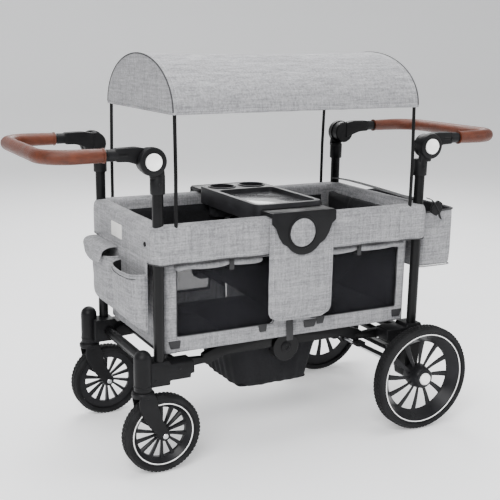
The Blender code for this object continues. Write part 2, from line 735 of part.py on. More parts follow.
def casters():
    crown_top = HOUSING_LOW - GAP
    for side_name, side in SIDES.items():
        swivel = (-SWIVEL_X, side * SWIVEL_Y, 0)
        axle = (-FRONT_X, side * FRONT_Y, FRONT_R)
        fork = turned(f"fork_{side_name}",
                      [(0, CROWN_LOW), (CROWN_R, CROWN_LOW), (CROWN_R, crown_top - 0.004),
                       (CROWN_R - 0.0035, crown_top), (STEM_R, crown_top),
                       (STEM_R, STEM_TOP), (0, STEM_TOP)],
                      swivel, "Z", "black_plastic", steps=20)
        leg = [(-SWIVEL_X - 0.016, crown_top - 0.003), (-SWIVEL_X - 0.020, CROWN_LOW - 0.012),
               (-SWIVEL_X - 0.006, CROWN_LOW - 0.055)]
        leg += arc((-FRONT_X, FRONT_R), 0.0145, 205, 385, 8)
        leg += [(-SWIVEL_X + 0.034, CROWN_LOW - 0.035), (-SWIVEL_X + 0.024, crown_top - 0.003)]
        for n, inner in enumerate((-FORK_IN - FORK_T, FORK_IN)):
            plate = prism(f"fork_leg_{side_name}_{n}", leg, "Y",
                          side * FRONT_Y + inner, side * FRONT_Y + inner + FORK_T,
                          "black_plastic", cutter=True)
            unite(fork, plate)
        cut(fork, cylinder(f"fork_hole_{side_name}", FRONT_AXLE_R + GAP, axle, "Y", -0.05,
                           0.05, cutter=True, steps=12))
        set_origin(fork, (-SWIVEL_X, side * SWIVEL_Y, HOUSING_LOW))
        outer = FORK_IN + FORK_T
        bolt = turned(f"caster_axle_{side_name}",
                      [(0, -outer - BOLT_HEAD_T), (BOLT_HEAD_R, -outer - BOLT_HEAD_T),
                       (BOLT_HEAD_R, -outer - GAP), (FRONT_AXLE_R, -outer - GAP),
                       (FRONT_AXLE_R, outer + GAP), (BOLT_HEAD_R, outer + GAP),
                       (BOLT_HEAD_R, outer + BOLT_HEAD_T), (0, outer + BOLT_HEAD_T)],
                      axle, "Y", "steel", steps=12)
        set_origin(bolt, axle)
        spoked_rim(f"front_rim_{side_name}", axle, FRONT_RIM_R,
                   FRONT_RIM_R - FRONT_RIM_WALL, FRONT_HUB_R, FRONT_AXLE_R + RUN,
                   FRONT_SPOKES, FRONT_W - 0.010, (0.001 - FORK_IN, FORK_IN - 0.001),
                   FRONT_W - 0.024, 0.22)
        tyre(f"front_tyre_{side_name}", axle, FRONT_R, FRONT_RIM_R, FRONT_W)


def brake():
    """Foot bar across the rear, hung on the axle, with a pedal in the middle."""
    centre = (REAR_X, 0, REAR_R)
    bar_x, bar_z = REAR_X + 0.045, REAR_R + 0.012
    bar = cylinder("brake_pedal", BRAKE_R, (bar_x, 0, bar_z), "Y", -BRAKE_HALF, BRAKE_HALF,
                   steps=12)
    parts = []
    for side in (-1, 1):
        ear = prism(f"brake_ear_{side}",
                    [*arc((REAR_X, REAR_R), BRAKE_EAR_R, 110, 290, 6),
                     (bar_x, bar_z - 0.008), (bar_x, bar_z + 0.008)],
                    "Y", side * BRAKE_EAR_Y[0], side * BRAKE_EAR_Y[1], "black_metal",
                    cutter=True)
        parts.append(ear)
    pedal = prism("brake_pad", [(bar_x - 0.004, bar_z + 0.009), (bar_x - 0.004, bar_z - 0.004),
                                (bar_x + 0.055, bar_z - 0.014), (bar_x + 0.058, bar_z - 0.006),
                                (bar_x + 0.012, bar_z + 0.009)],
                  "Y", -PEDAL_HALF, PEDAL_HALF, "black_plastic", cutter=True)
    unite(bar, *parts, pedal)
    cut(bar, cylinder("brake_hole", REAR_AXLE_R + RUN, centre, "Y", -REAR_Y, REAR_Y,
                      cutter=True))
    set_origin(bar, centre)


# ---------------------------------------------------------------- handles
def handle_hinges():
    """Fixed half of each handle hinge, with a sleeve over the post and a push button."""
    for end_name, end in ENDS.items():
        for side_name, side in SIDES.items():
            name = f"{end_name}_hinge_{side_name}"
            axis = (end * HINGE_X, 0, HINGE_Z)
            body = turned(name, [(0, side * HINGE_MID), (HINGE_R, side * HINGE_MID),
                                 (HINGE_R, side * (HINGE_OUT - 0.003)),
                                 (HINGE_R - 0.003, side * HINGE_OUT), (0, side * HINGE_OUT)],
                          axis, "Y", "black_plastic")
            sleeve = cylinder(name + "_sleeve", POST_R + SLEEVE_WALL,
                              (end * POST_X, side * POST_Y, 0), "Z", POST_TOP - 0.040,
                              POST_TOP + 0.0075, "black_plastic", cutter=True)
            neck = block_solid(name + "_neck", [(
                span(end * (HINGE_X - 0.029), end * (HINGE_X + 0.005)),
                span(side * HINGE_MID, side * (HINGE_OUT - 0.0065)),
                (POST_TOP - 0.005, POST_TOP + 0.030))], "black_plastic", cutter=True)
            post = cylinder(name + "_post_hole", POST_R + GAP, (end * POST_X, side * POST_Y, 0),
                            "Z", POST_TOP - 0.095, POST_TOP + GAP, cutter=True)
            seat = cylinder(name + "_button_seat", BUTTON_R + RUN, axis, "Y",
                            side * (HINGE_OUT - BUTTON_DEEP - BUTTON_TRAVEL - GAP),
                            side * (HINGE_OUT + 0.01), cutter=True, steps=20)
            unite(body, neck, sleeve)
            cut(body, post, seat)
            low = side * (HINGE_OUT - BUTTON_DEEP)
            high = side * (HINGE_OUT + BUTTON_PROUD)
            button = turned(f"{end_name}_button_{side_name}",
                            [(0, low), (BUTTON_R, low), (BUTTON_R, high - side * 0.0015),
                             (BUTTON_R - 0.002, high), (0, high)], axis, "Y",
                            "white_plastic", steps=20)
            set_origin(button, (end * HINGE_X, side * HINGE_OUT, HINGE_Z))


def bar_path(end):
    """Centre line of a handle bar under its grip, from the left side to the right."""
    corners = [(end * GRIP_FROM_X, -BAR_Y, BAR_Z), (end * BAR_TIP_X, -BAR_Y, BAR_Z),
               (end * BAR_TIP_X, BAR_Y, BAR_Z), (end * GRIP_FROM_X, BAR_Y, BAR_Z)]
    return rounded_path(corners, BAR_CORNER, steps=4)


def handles():
    for end_name, end in ENDS.items():
        middle = bar_path(end)
        root_x = end * (HINGE_X + 0.060)
        straight = [Vector((root_x, -BAR_Y, BAR_Z)), *middle, Vector((root_x, BAR_Y, BAR_Z))]
        bar = swept(f"{end_name}_handle_bar", straight, BAR_R, "black_metal")
        for side in SIDES.values():
            name = f"{end_name}_arm_{side}"
            hub = cylinder(name + "_hub", HINGE_R - 0.003, (end * HINGE_X, 0, HINGE_Z), "Y",
                           side * HINGE_IN, side * (HINGE_MID - GAP), "black_plastic",
                           cutter=True)
            arm = prism(name, [(end * (HINGE_X + 0.004), HINGE_Z - 0.017),
                               (end * (HINGE_X + 0.045), HINGE_Z - 0.002),
                               (end * (ARM_END_X - 0.006), BAR_Z - 0.016),
                               (end * ARM_END_X, BAR_Z - 0.012),
                               (end * ARM_END_X, BAR_Z + 0.012),
                               (end * (ARM_END_X - 0.006), BAR_Z + 0.016),
                               (end * (HINGE_X + 0.040), BAR_Z + 0.017),
                               (end * (HINGE_X + 0.004), HINGE_Z + 0.028)],
                        "Y", side * (HINGE_IN + 0.0015), side * (HINGE_MID - 0.0015),
                        "black_plastic", cutter=True)
            unite(bar, hub, arm)
        set_origin(bar, (end * HINGE_X, 0, HINGE_Z))
        grip = swept(f"{end_name}_handle_grip", middle, GRIP_R, "grip_leather",
                     inner=BAR_R + GAP)
        set_origin(grip, (end * HINGE_X, 0, HINGE_Z))


# ---------------------------------------------------------------- canopy
def canopy():
    turns = [pi * n / 12 for n in range(13)]
    levels = [0, 1, 2]
    xs = [-CANOPY_X, -CANOPY_X + 0.003, CANOPY_X - 0.003, CANOPY_X]

    def filled(i, j, k):
        return k == 1 or i in (0, 2)

    def place(x, turn, level):
        grow = CANOPY_T if level == 2 else 0
        y = (CANOPY_Y - CANOPY_T + grow) * cos(turn)
        if level == 0:
            return (x, y, CANOPY_HEM - CANOPY_DROP / 2)
        return (x, y, CANOPY_HEM + (CANOPY_RISE - CANOPY_T + grow) * sin(turn))

    cell_solid("canopy", xs, turns, levels, filled, place, "grey_fabric")
    for end_name, end in ENDS.items():
        inset = CANOPY_T + HOOP_R + GAP
        x = end * HOOP_X
        crown = [(x, -(CANOPY_Y - inset) * cos(t), CANOPY_HEM + (CANOPY_RISE - inset) * sin(t))
                 for t in turns]
        path = [(x, -HOOP_FOOT_Y, HOOP_FOOT_Z), *crown, (x, HOOP_FOOT_Y, HOOP_FOOT_Z)]
        swept(f"{end_name}_canopy_hoop", path, HOOP_R, "black_metal", sides=6)


# ---------------------------------------------------------------- tub, seats, bags
def tubs():
    """Fabric walls of each half: inner walls, end wall, seat floor, and the outer band
    that hooks over the top rails and posts."""
    for end_name, end in ENDS.items():
        inside = WALL_Y - WALL_T
        side_x = span(end * 0.002, end * WALL_X)
        corner = PIVOT_X - 0.030
        blocks = [
            (span(end * (WALL_X - WALL_T), end * WALL_X), (-WALL_Y, WALL_Y),
             (TUB_LOW, BAND_TOP)),
            (span(end * (SEAT_FROM_X - 0.005), end * WALL_X), (-WALL_Y, WALL_Y),
             (TUB_LOW, TUB_LOW + TUB_FLOOR_T)),
            (span(end * (BAND_X - WALL_T), end * BAND_X), (-BAND_Y, BAND_Y),
             (BAND_LOW, BAND_TOP)),
            (span(end * (WALL_X - WALL_T), end * BAND_X),
             (0.0135 - WALL_Y, WALL_Y - 0.0135),
             (BAND_TOP - 0.005, BAND_TOP)),
        ]
        for side in SIDES.values():
            blocks += [
                (side_x, span(side * inside, side * WALL_Y), (TUB_LOW, BAND_TOP)),
                (span(end * 0.002, end * corner), span(side * inside, side * BAND_Y),
                 (BAND_TOP - 0.005, BAND_TOP)),
                (span(end * 0.002, end * BAND_X), span(side * (BAND_Y - BAND_T), side * BAND_Y),
                 (BAND_LOW, BAND_TOP)),
            ]
        block_solid(f"{end_name}_tub", blocks, "grey_fabric")


def seats():
    """A seat pad on each floor half and a back pad against each end wall."""
    for end_name, end in ENDS.items():
        wide = WALL_Y - WALL_T - PAD_IN
        low = TUB_LOW + TUB_FLOOR_T + GAP
        top = low + SEAT_H
        pad = [(end * x, z) for x, z in
               [(SEAT_FROM_X + 0.005, low), (SEAT_TO_X, low), (SEAT_TO_X, top - 0.008),
                (SEAT_TO_X - 0.007, top), (SEAT_FROM_X + 0.015, top),
                (SEAT_FROM_X, top - 0.013), (SEAT_FROM_X, low + 0.008)]]
        prism(f"{end_name}_seat_pad", pad, "Y", -wide, wide, "black_fabric")
        foot = low + 0.006
        back = [(end * x, z) for x, z in
                [(BACK_X[0], foot), (BACK_X[1], foot), (BACK_X[1], BACK_TOP - 0.009),
                 (BACK_X[1] - 0.011, BACK_TOP), (BACK_X[0] + 0.005, BACK_TOP - 0.009)]]
        prism(f"{end_name}_back_pad", back, "Y", -wide, wide, "black_fabric")


def foot_well():
    """Sunk fabric well between the seats, open at the top, narrower at the bottom."""

    def place(x, y, z):
        down = (WELL_TOP - z) / (WELL_TOP - WELL_LOW)
        return (x * (1 - WELL_TAPER_X * down), y * (1 - WELL_TAPER_Y * down), z)

    xs = [-WELL_X, -WELL_X + WELL_T, WELL_X - WELL_T, WELL_X]
    ys = [-WELL_Y, -WELL_Y + WELL_T, WELL_Y - WELL_T, WELL_Y]
    zs = [WELL_LOW, WELL_LOW + WELL_T, (WELL_LOW + WELL_TOP) / 2, WELL_TOP]

    def filled(i, j, k):
        return k == 0 or i in (0, 2) or j in (0, 2)

    cell_solid("foot_well", xs, ys, zs, filled, place, "black_fabric")


def pockets():
    """Flat pockets that hang from the tray's hangers over the middle of each side."""
    for side_name, side in SIDES.items():
        ys = [POCKET_Y, POCKET_Y + 0.0025, POCKET_Y + POCKET_T - 0.0025, POCKET_Y + POCKET_T]
        xs = [-POCKET_X, -POCKET_X + 0.003, POCKET_X - 0.003, POCKET_X]
        zs = [POCKET_LOW, POCKET_LOW + 0.004, POCKET_MOUTH, POCKET_TOP]

        def filled(i, j, k):
            if j == 0:
                return True
            if k == 2:
                return False
            return j == 2 or i in (0, 2) or k == 0

        def place(x, y, z):
            return (x, side * y, z)

        cell_solid(f"side_pocket_{side_name}", xs, ys, zs, filled, place, "grey_fabric")


def bags():
    """Storage bag on the rear end and two-pocket organiser on the front end."""
    low, high = REAR_BAG_Z
    rear = [((BAG_X, REAR_BAG_X), (-REAR_BAG_Y, REAR_BAG_Y), (low, high))]
    block_solid("rear_bag", rear, "grey_fabric",
                holes=[((BAG_X + BAG_T, REAR_BAG_X - BAG_T),
                        (BAG_T - REAR_BAG_Y, REAR_BAG_Y - BAG_T), (low + BAG_T, high + 0.01))])
    low, high = ORGANISER_Z
    left, right = ORGANISER_Y
    room_x, room_z = (BAG_T - ORGANISER_X, -BAG_X - BAG_T), (low + BAG_T, high + 0.04)
    block_solid("front_organiser", [((-ORGANISER_X, -BAG_X), (left, right), (low, high))],
                "grey_fabric",
                holes=[(room_x, (left + BAG_T, ORGANISER_SPLIT[0]), room_z),
                       (room_x, (ORGANISER_SPLIT[1], right - BAG_T), room_z)])


# ---------------------------------------------------------------- tray
def rounded_rectangle(half_x, half_y, radius, steps=4):
    points = []
    for cx, cy, start in ((1, 1, 0), (-1, 1, 90), (-1, -1, 180), (1, -1, 270)):
        points += arc((cx * (half_x - radius), cy * (half_y - radius)), radius, start,
                      start + 90, steps)
    return points


def tray():
    """Moulded tray with a shallow well and two cup holders, which lifts off."""
    body = prism("tray", rounded_rectangle(TRAY_X, TRAY_Y, TRAY_CORNER), "Z", TRAY_LOW,
                 TRAY_TOP, "black_plastic")
    well = prism("tray_well", [(x, y - 0.045) for x, y in
                               rounded_rectangle(TRAY_X - 0.014, TRAY_Y - 0.062, 0.022)],
                 "Z", TRAY_TOP - TRAY_WELL_DEEP, TRAY_TOP + 0.01, "black_plastic",
                 cutter=True)
    spots = [(x, CUP_Y, 0) for x in (-CUP_X, CUP_X)]
    unite(body, *[cylinder(f"cup_wall_{n}", CUP_OUT_R, spot, "Z", CUP_LOW, TRAY_LOW + 0.014,
                           "black_plastic", cutter=True) for n, spot in enumerate(spots)])
    cut(body, well, *[cylinder(f"cup_{n}", CUP_R, spot, "Z", CUP_LOW + CUP_FLOOR_T,
                               TRAY_TOP + 0.01, cutter=True)
                      for n, spot in enumerate(spots)])
    for side_name, side in SIDES.items():
        hanger(side_name, side)


def shield_outline():
    """Front view of a hanger's outer plate: wide top, stepped sides, rounded tip."""
    tip = arc((0, TOP_PIVOT_Z + 0.001), 0.060, 215, 325, 8)
    steps = [(HANGER_X, BAND_TOP - 0.018), (HANGER_X - 0.018, BAND_TOP - 0.033),
             (HANGER_X - 0.026, TOP_PIVOT_Z - 0.017)]
    return [(HANGER_X, HANGER_TOP), (-HANGER_X, HANGER_TOP), *[(-x, z) for x, z in steps],
            *tip, *reversed(steps)]


def hanger(side_name, side):
    """Saddle over the band at the middle of a side; the tray drops between the two."""
    name = f"tray_hanger_{side_name}"
    face_in = POCKET_Y + POCKET_T + 0.0006
    plate = prism(name, shield_outline(), "Y", side * face_in, side * (face_in + HANGER_T),
                  "black_plastic")
    bridge = block_solid(name + "_bridge", [(
        (-HANGER_X + 0.002, HANGER_X - 0.002),
        span(side * (TRAY_Y + 0.0006), side * (face_in + 0.003)),
        (BAND_TOP + 0.0025, HANGER_TOP - 0.0015))], "black_plastic", cutter=True)
    lip = block_solid(name + "_lip", [(
        (-HANGER_X + 0.012, HANGER_X - 0.012),
        span(side * (TRAY_Y + 0.0006), side * (TRAY_Y + 0.0045)),
        (TRAY_LOW + 0.006, HANGER_TOP - 0.004))], "black_plastic", cutter=True)
    unite(plate, bridge, lip)
    cap = cylinder(name + "_window", WINDOW_R, (0, 0, TOP_PIVOT_Z + ARCH), "Y",
                   side * (face_in + 0.0030), side * (face_in + 0.02), cutter=True, steps=20)
    cut(plate, cap)
    set_origin(plate, (0, side * POST_Y, TOP_PIVOT_Z + ARCH))


def main():
    clear_scene()
    end_frames()
    caster_brackets()
    rear_brackets()
    floor_frames()
    top_rails()
    rear_wheels()
    casters()
    brake()
    handle_hinges()
    handles()
    canopy()
    tubs()
    seats()
    foot_well()
    pockets()
    bags()
    tray()


main()
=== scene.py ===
"""Looks of a folding two-seat push wagon: cloth, metal, wheels, grips and tray on its frame.

Laid out as an add-on: each operator makes one group of pieces, and main() calls them in
order.  Metres, +Z up; -X is the caster end (front), +X the big-wheel end, -Y the left side.
"""

import json
from math import cos, pi, radians, sin, sqrt, tan

import bmesh
import bpy
from mathutils import Matrix, Vector, noise


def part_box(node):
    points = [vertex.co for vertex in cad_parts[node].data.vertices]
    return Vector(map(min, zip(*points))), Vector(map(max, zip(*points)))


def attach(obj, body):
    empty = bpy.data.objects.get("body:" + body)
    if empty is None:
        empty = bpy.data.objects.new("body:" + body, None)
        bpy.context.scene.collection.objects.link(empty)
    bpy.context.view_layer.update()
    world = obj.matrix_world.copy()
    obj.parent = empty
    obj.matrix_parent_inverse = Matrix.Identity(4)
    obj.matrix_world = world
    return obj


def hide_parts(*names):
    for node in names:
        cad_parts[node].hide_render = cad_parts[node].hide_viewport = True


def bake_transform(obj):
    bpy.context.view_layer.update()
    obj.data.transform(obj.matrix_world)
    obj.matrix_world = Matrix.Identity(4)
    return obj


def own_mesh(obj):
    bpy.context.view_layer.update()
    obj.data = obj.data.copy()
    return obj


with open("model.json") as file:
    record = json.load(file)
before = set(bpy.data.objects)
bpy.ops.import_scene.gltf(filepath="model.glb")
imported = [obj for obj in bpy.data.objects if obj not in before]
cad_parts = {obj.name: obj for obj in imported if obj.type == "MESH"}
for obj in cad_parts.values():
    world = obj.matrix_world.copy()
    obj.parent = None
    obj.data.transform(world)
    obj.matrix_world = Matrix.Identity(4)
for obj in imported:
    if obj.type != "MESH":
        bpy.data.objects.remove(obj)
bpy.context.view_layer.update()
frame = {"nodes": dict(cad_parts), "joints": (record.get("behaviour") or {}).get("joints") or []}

bl_info = {
    "name": "Folding push wagon",
    "version": (1, 0, 0),
    "blender": (4, 5, 0),
    "location": "3D View > Sidebar > Wagon",
    "description": "Builds the cloth, metal, wheels and tray of a two-seat push wagon",
    "category": "Object",
}

SIDES = {"left": -1, "right": 1}
ENDS = {"front": -1, "rear": 1}
END_BODY = {"front": "front_end", "rear": "root"}
FLOOR_BODY = {"front": "front_floor", "rear": "rear_floor"}
RAIL_BODY = {"front": "front_top_rails", "rear": "rear_top_rails"}


def joint(name):
    return next(found for found in frame["joints"] if found["name"] == name)


def joint_pivot(name):
    return Vector(joint(name)["pos_m"])


# ------------------------------------------------------------- places from the frame
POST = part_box("rear_frame")
POST_R = 0.0145
POST_Y = POST[1].y - POST_R
POST_X = POST[1].x - POST_R
POST_TOP = POST[1].z
CROSS_Z = POST[0].z + POST_R
PIVOT_X = joint_pivot("fold").x
FLOOR_PIVOT_Z = joint_pivot("fold").z
TOP_PIVOT_Z = joint_pivot("rear_top_rail_fold").z
HUB = joint_pivot("front_floor_fold")
HINGE = joint_pivot("rear_handle_turn")
REAR_AXLE = joint_pivot("right_rear_wheel_spin")
FRONT_AXLE = joint_pivot("right_front_wheel_spin")
SWIVEL = joint_pivot("right_fork_swivel")
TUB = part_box("rear_tub")
BAND_X, BAND_Y, BAND_TOP = TUB[1]
TUB_LOW = TUB[0].z
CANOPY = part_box("canopy")
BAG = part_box("rear_bag")
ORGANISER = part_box("front_organiser")
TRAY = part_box("tray")
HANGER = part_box("tray_hanger_right")
WALL_Y = 0.2085             # outside of the cloth walls
WALL_X = 0.3865
BAND_LOW = 0.575
BRACKET_TOP = 0.312
CANOPY_SPRING = 0.957       # where the canopy's arch starts


# ------------------------------------------------------------- settings
def length(name, description, default, low, high):
    return bpy.props.FloatProperty(name=name, description=description, default=default,
                                   min=low, max=high, unit="LENGTH")


def tint(name, description, default):
    return bpy.props.FloatVectorProperty(name=name, description=description, default=default,
                                         subtype="COLOR")


class WagonSizes(bpy.types.PropertyGroup):
    stitch_pitch: length("Stitch pitch", "From one stitch to the next", 0.0060, 0.003, 0.02)
    stitch_length: length("Stitch length", "Length of one stitch", 0.0040, 0.001, 0.01)
    piping: length("Piping", "Radius of the cord sewn along the edges", 0.0020, 0.0005, 0.004)
    cloth: length("Cloth", "Thickness of the outer cloth", 0.0022, 0.0005, 0.004)
    band_puff: length("Band puff", "How far the padded band swells", 0.0035, 0.0, 0.01)
    canopy_sag: length("Canopy sag", "How far the canopy hangs between its hoops", 0.006, 0.0,
                       0.03)
    pressure: bpy.props.FloatProperty(
        name="Pad pressure", description="Pressure that swells the seat pads", default=4.0,
        min=0.5, max=12.0)
    tread_blocks: bpy.props.IntProperty(
        name="Tread blocks", description="Blocks round a rear tyre", default=84, min=20,
        max=160)


class WagonColours(bpy.types.PropertyGroup):
    cloth_light: tint("Cloth light", "Light yarn of the grey cloth", (0.37, 0.37, 0.38))
    cloth_dark: tint("Cloth dark", "Dark yarn of the grey cloth", (0.15, 0.15, 0.158))
    black_cloth: tint("Black cloth", "Lining, seats and webbing", (0.009, 0.009, 0.010))
    metal: tint("Frame", "Powder coat of the tubes", (0.004, 0.004, 0.0043))
    plastic: tint("Mouldings", "Black plastic", (0.0055, 0.0055, 0.006))
    rubber: tint("Tyres", "Tyre rubber", (0.009, 0.009, 0.0095))
    leather: tint("Grips", "Leatherette of the grips", (0.092, 0.0215, 0.0085))
    white: tint("White parts", "Buttons, hub caps and wheel rings", (0.83, 0.83, 0.82))


def sizes():
    return bpy.context.scene.wagon_sizes


def colours():
    return bpy.context.scene.wagon_colours


# ------------------------------------------------------------- finishes
class Value:
    """A socket in a finish; sums and products of it add Math nodes."""

    def __init__(self, finish, socket):
        self.finish = finish
        self.socket = socket

    def math(self, operation, *values):
        inputs = dict(enumerate(values))
        return self.finish.node("ShaderNodeMath", {"operation": operation}, inputs)

    def __add__(self, other):
        return self.math("ADD", self, other)

    __radd__ = __add__

    def __mul__(self, other):
        return self.math("MULTIPLY", self, other)

    __rmul__ = __mul__

    def wave(self, pitch):
        """Rises and falls between 0 and 1 once in each pitch."""
        return 0.5 + 0.5 * self.math("SINE", self * (2 * pi / pitch))


class Finish:
    """A material, with one method that makes any node of it."""

    def __init__(self, name):
        self.material = bpy.data.materials.new(name)
        self.material.use_nodes = True
        self.tree = self.material.node_tree
        self.shader = self.tree.nodes["Principled BSDF"]

    def node(self, kind, settings=None, values=None, output=0):
        made = self.tree.nodes.new(kind)
        for key, value in (settings or {}).items():
            setattr(made, key, value)
        for key, value in (values or {}).items():
            if isinstance(value, Value):
                self.tree.links.new(value.socket, made.inputs[key])
            else:
                made.inputs[key].default_value = value
        return Value(self, made.outputs[output])

    def place(self, stretch=(1, 1, 1)):
        """Object coordinates, stretched along the axes."""
        where = self.node("ShaderNodeTexCoord", output=3)
        return self.node("ShaderNodeMapping", None, {"Vector": where, "Scale": stretch})

    def axes(self):
        where = self.node("ShaderNodeTexCoord", output=3)
        parts = self.node("ShaderNodeSeparateXYZ", None, {0: where})
        return [Value(self, parts.socket.node.outputs[n]) for n in range(3)]

    def noise(self, scale, stretch=(1, 1, 1), detail=2.0, rough=0.5):
        return self.node("ShaderNodeTexNoise", None, {
            "Vector": self.place(stretch), "Scale": scale, "Detail": detail,
            "Roughness": rough})

    def mix(self, share, a, b):
        """Colour that goes from a to b with share."""
        def colour(value):
            return value if isinstance(value, Value) else (*value, 1)
        return self.node("ShaderNodeMix", {"data_type": "RGBA"},
                         {0: share, 6: colour(a), 7: colour(b)}, output=2)

    def spread(self, value, low, high, to_low=0.0, to_high=1.0):
        """Maps low..high of a value to to_low..to_high and holds it there."""
        return self.node("ShaderNodeMapRange", None,
                         {0: value, 1: low, 2: high, 3: to_low, 4: to_high})

    def bump(self, height, distance, strength=1.0):
        return self.node("ShaderNodeBump", None, {
            "Height": height, "Distance": distance, "Strength": strength})

    def surface(self, **sockets):
        for key, value in sockets.items():
            socket = self.shader.inputs[key.replace("_", " ")]
            if isinstance(value, Value):
                self.tree.links.new(value.socket, socket)
            else:
                socket.default_value = (*value, 1) if isinstance(value, tuple) else value
        return self.material

    def veil(self, share):
        """Turns the cloth to a net whose threads stop that share of the light."""
        clear = self.node("ShaderNodeBsdfTransparent")
        net = self.node("ShaderNodeMixShader", None, {
            0: share, 1: clear, 2: Value(self, self.shader.outputs[0])})
        self.tree.links.new(net.socket, self.tree.nodes["Material Output"].inputs["Surface"])


def shade(colour, factor):
    return tuple(channel * factor for channel in colour)


def grey_cloth():
    """Two-tone woven cloth: crossing streaks of light and dark yarn over a plain weave."""
    made = Finish("heather")
    light, dark = tuple(colours().cloth_light), tuple(colours().cloth_dark)
    upright = made.noise(12, (14, 14, 1.1), detail=4, rough=0.8)
    level = made.noise(12, (1.1, 1.1, 15), detail=4, rough=0.8)
    fleck = made.noise(190, detail=2)
    cloud = made.noise(9, detail=2)
    tone = upright * 0.34 + level * 0.42 + fleck * 0.24
    tone = made.spread(tone, 0.41, 0.61) * 0.88 + made.spread(cloud, 0.3, 0.7) * 0.12
    x, y, z = made.axes()
    weave = (x + y).wave(0.0016) * z.wave(0.0016)
    height = weave * 0.6 + fleck * 0.4
    colour = made.mix(tone, dark, light)
    return made.surface(
        Base_Color=colour, Roughness=made.spread(tone, 0, 1, 0.95, 0.82),
        Normal=made.bump(height, 0.0006, 0.55), Sheen_Weight=0.08, Sheen_Roughness=0.5,
        Specular_IOR_Level=0.3)


def plain_cloth(name, colour, weave_pitch, veil=None):
    """Black cloth in a plain weave, or a net when it has a veil."""
    made = Finish(name)
    yarn = made.noise(260, detail=2)
    cloud = made.noise(7, detail=3)
    x, y, z = made.axes()
    weave = (x + y).wave(weave_pitch) * z.wave(weave_pitch)
    tone = made.spread(yarn * 0.5 + cloud * 0.5, 0.35, 0.65)
    made.surface(
        Base_Color=made.mix(tone, colour, shade(colour, 2.2)),
        Roughness=made.spread(yarn, 0.3, 0.7, 0.85, 0.95),
        Normal=made.bump(weave * 0.7 + yarn * 0.3, 0.0006, 0.6),
        Sheen_Weight=0.02, Sheen_Roughness=0.4, Specular_IOR_Level=0.15)
    if veil:
        made.veil(veil)
    return made.material


def moulded(name, colour, rough=0.42, grain=0.00012, coat=0.0):
    """Injection-moulded plastic: fine spark grain, slight flow marks and dust."""
    made = Finish(name)
    grains = made.noise(1500, detail=2)
    flow = made.noise(22, detail=3)
    return made.surface(
        Base_Color=made.mix(made.spread(flow, 0.3, 0.75), colour, shade(colour, 1.7)),
        Roughness=made.spread(flow * 0.6 + grains * 0.4, 0.3, 0.7, rough - 0.07, rough + 0.1),
        Normal=made.bump(grains, grain, 0.7), Coat_Weight=coat, Specular_IOR_Level=0.14)


def powder_coat():
    """Black powder coat: orange-peel bump with a soft gloss."""
    made = Finish("powder_coat")
    peel = made.noise(700, detail=2)
    cloud = made.noise(16, detail=3)
    colour = tuple(colours().metal)
    return made.surface(
        Base_Color=made.mix(made.spread(cloud, 0.35, 0.7), colour, shade(colour, 1.8)),
        Roughness=made.spread(cloud * 0.7 + peel * 0.3, 0.3, 0.7, 0.24, 0.38),
        Normal=made.bump(peel, 0.00018, 0.5), Specular_IOR_Level=0.16)


def bright_steel():
    made = Finish("bright_steel")
    brushed = made.noise(60, (6, 60, 6), detail=4)
    return made.surface(
        Base_Color=made.mix(brushed, (0.55, 0.56, 0.58), (0.74, 0.75, 0.76)),
        Roughness=made.spread(brushed, 0.3, 0.7, 0.18, 0.34), Metallic=1.0,
        Normal=made.bump(brushed, 0.0001, 0.4))


def tyre_rubber():
    """Matte rubber with patches of lighter dust."""
    made = Finish("tread_rubber")
    colour = tuple(colours().rubber)
    dust = made.noise(24, detail=5, rough=0.65)
    pores = made.noise(900, detail=1)
    return made.surface(
        Base_Color=made.mix(made.spread(dust, 0.42, 0.75), colour, shade(colour, 2.0)),
        Roughness=made.spread(dust, 0.3, 0.7, 0.52, 0.72),
        Normal=made.bump(pores * 0.6 + dust * 0.4, 0.0004, 0.6), Specular_IOR_Level=0.12)


def leatherette():
    """Brown leatherette: pebbled grain, creases and a tone that varies in patches."""
    made = Finish("leatherette")
    colour = tuple(colours().leather)
    pebbles = made.node("ShaderNodeTexVoronoi", {"feature": "DISTANCE_TO_EDGE"},
                        {"Vector": made.place(), "Scale": 620.0})
    cloud = made.noise(26, detail=4, rough=0.6)
    crease = made.noise(60, (1, 3, 3), detail=3)
    grain = made.spread(pebbles, 0.0, 0.25)
    tone = made.spread(cloud * 0.6 + crease * 0.4, 0.35, 0.68)
    colour = made.mix(tone, shade(colour, 0.62), shade(colour, 1.25))
    return made.surface(
        Base_Color=colour, Roughness=made.spread(cloud, 0.3, 0.7, 0.36, 0.52),
        Normal=made.bump(grain * 0.6 + crease * 0.4, 0.0004, 0.6), Specular_IOR_Level=0.30)


def thread(name, colour):
    made = Finish(name)
    twist = made.noise(1200, detail=1)
    return made.surface(Base_Color=made.mix(twist, shade(colour, 0.75), colour),
                        Roughness=made.spread(twist, 0.3, 0.7, 0.7, 0.85))


def webbing():
    """Ribbed black strap."""
    made = Finish("webbing")
    x, y, z = made.axes()
    ribs = (x + y + z).wave(0.0024)
    fibre = made.noise(500, detail=2)
    return made.surface(
        Base_Color=made.mix(ribs * 0.5 + fibre * 0.5, (0.008, 0.008, 0.009), (0.03, 0.03, 0.032)),
        Roughness=made.spread(fibre, 0.3, 0.7, 0.6, 0.8), Normal=made.bump(ribs, 0.0004, 0.7))


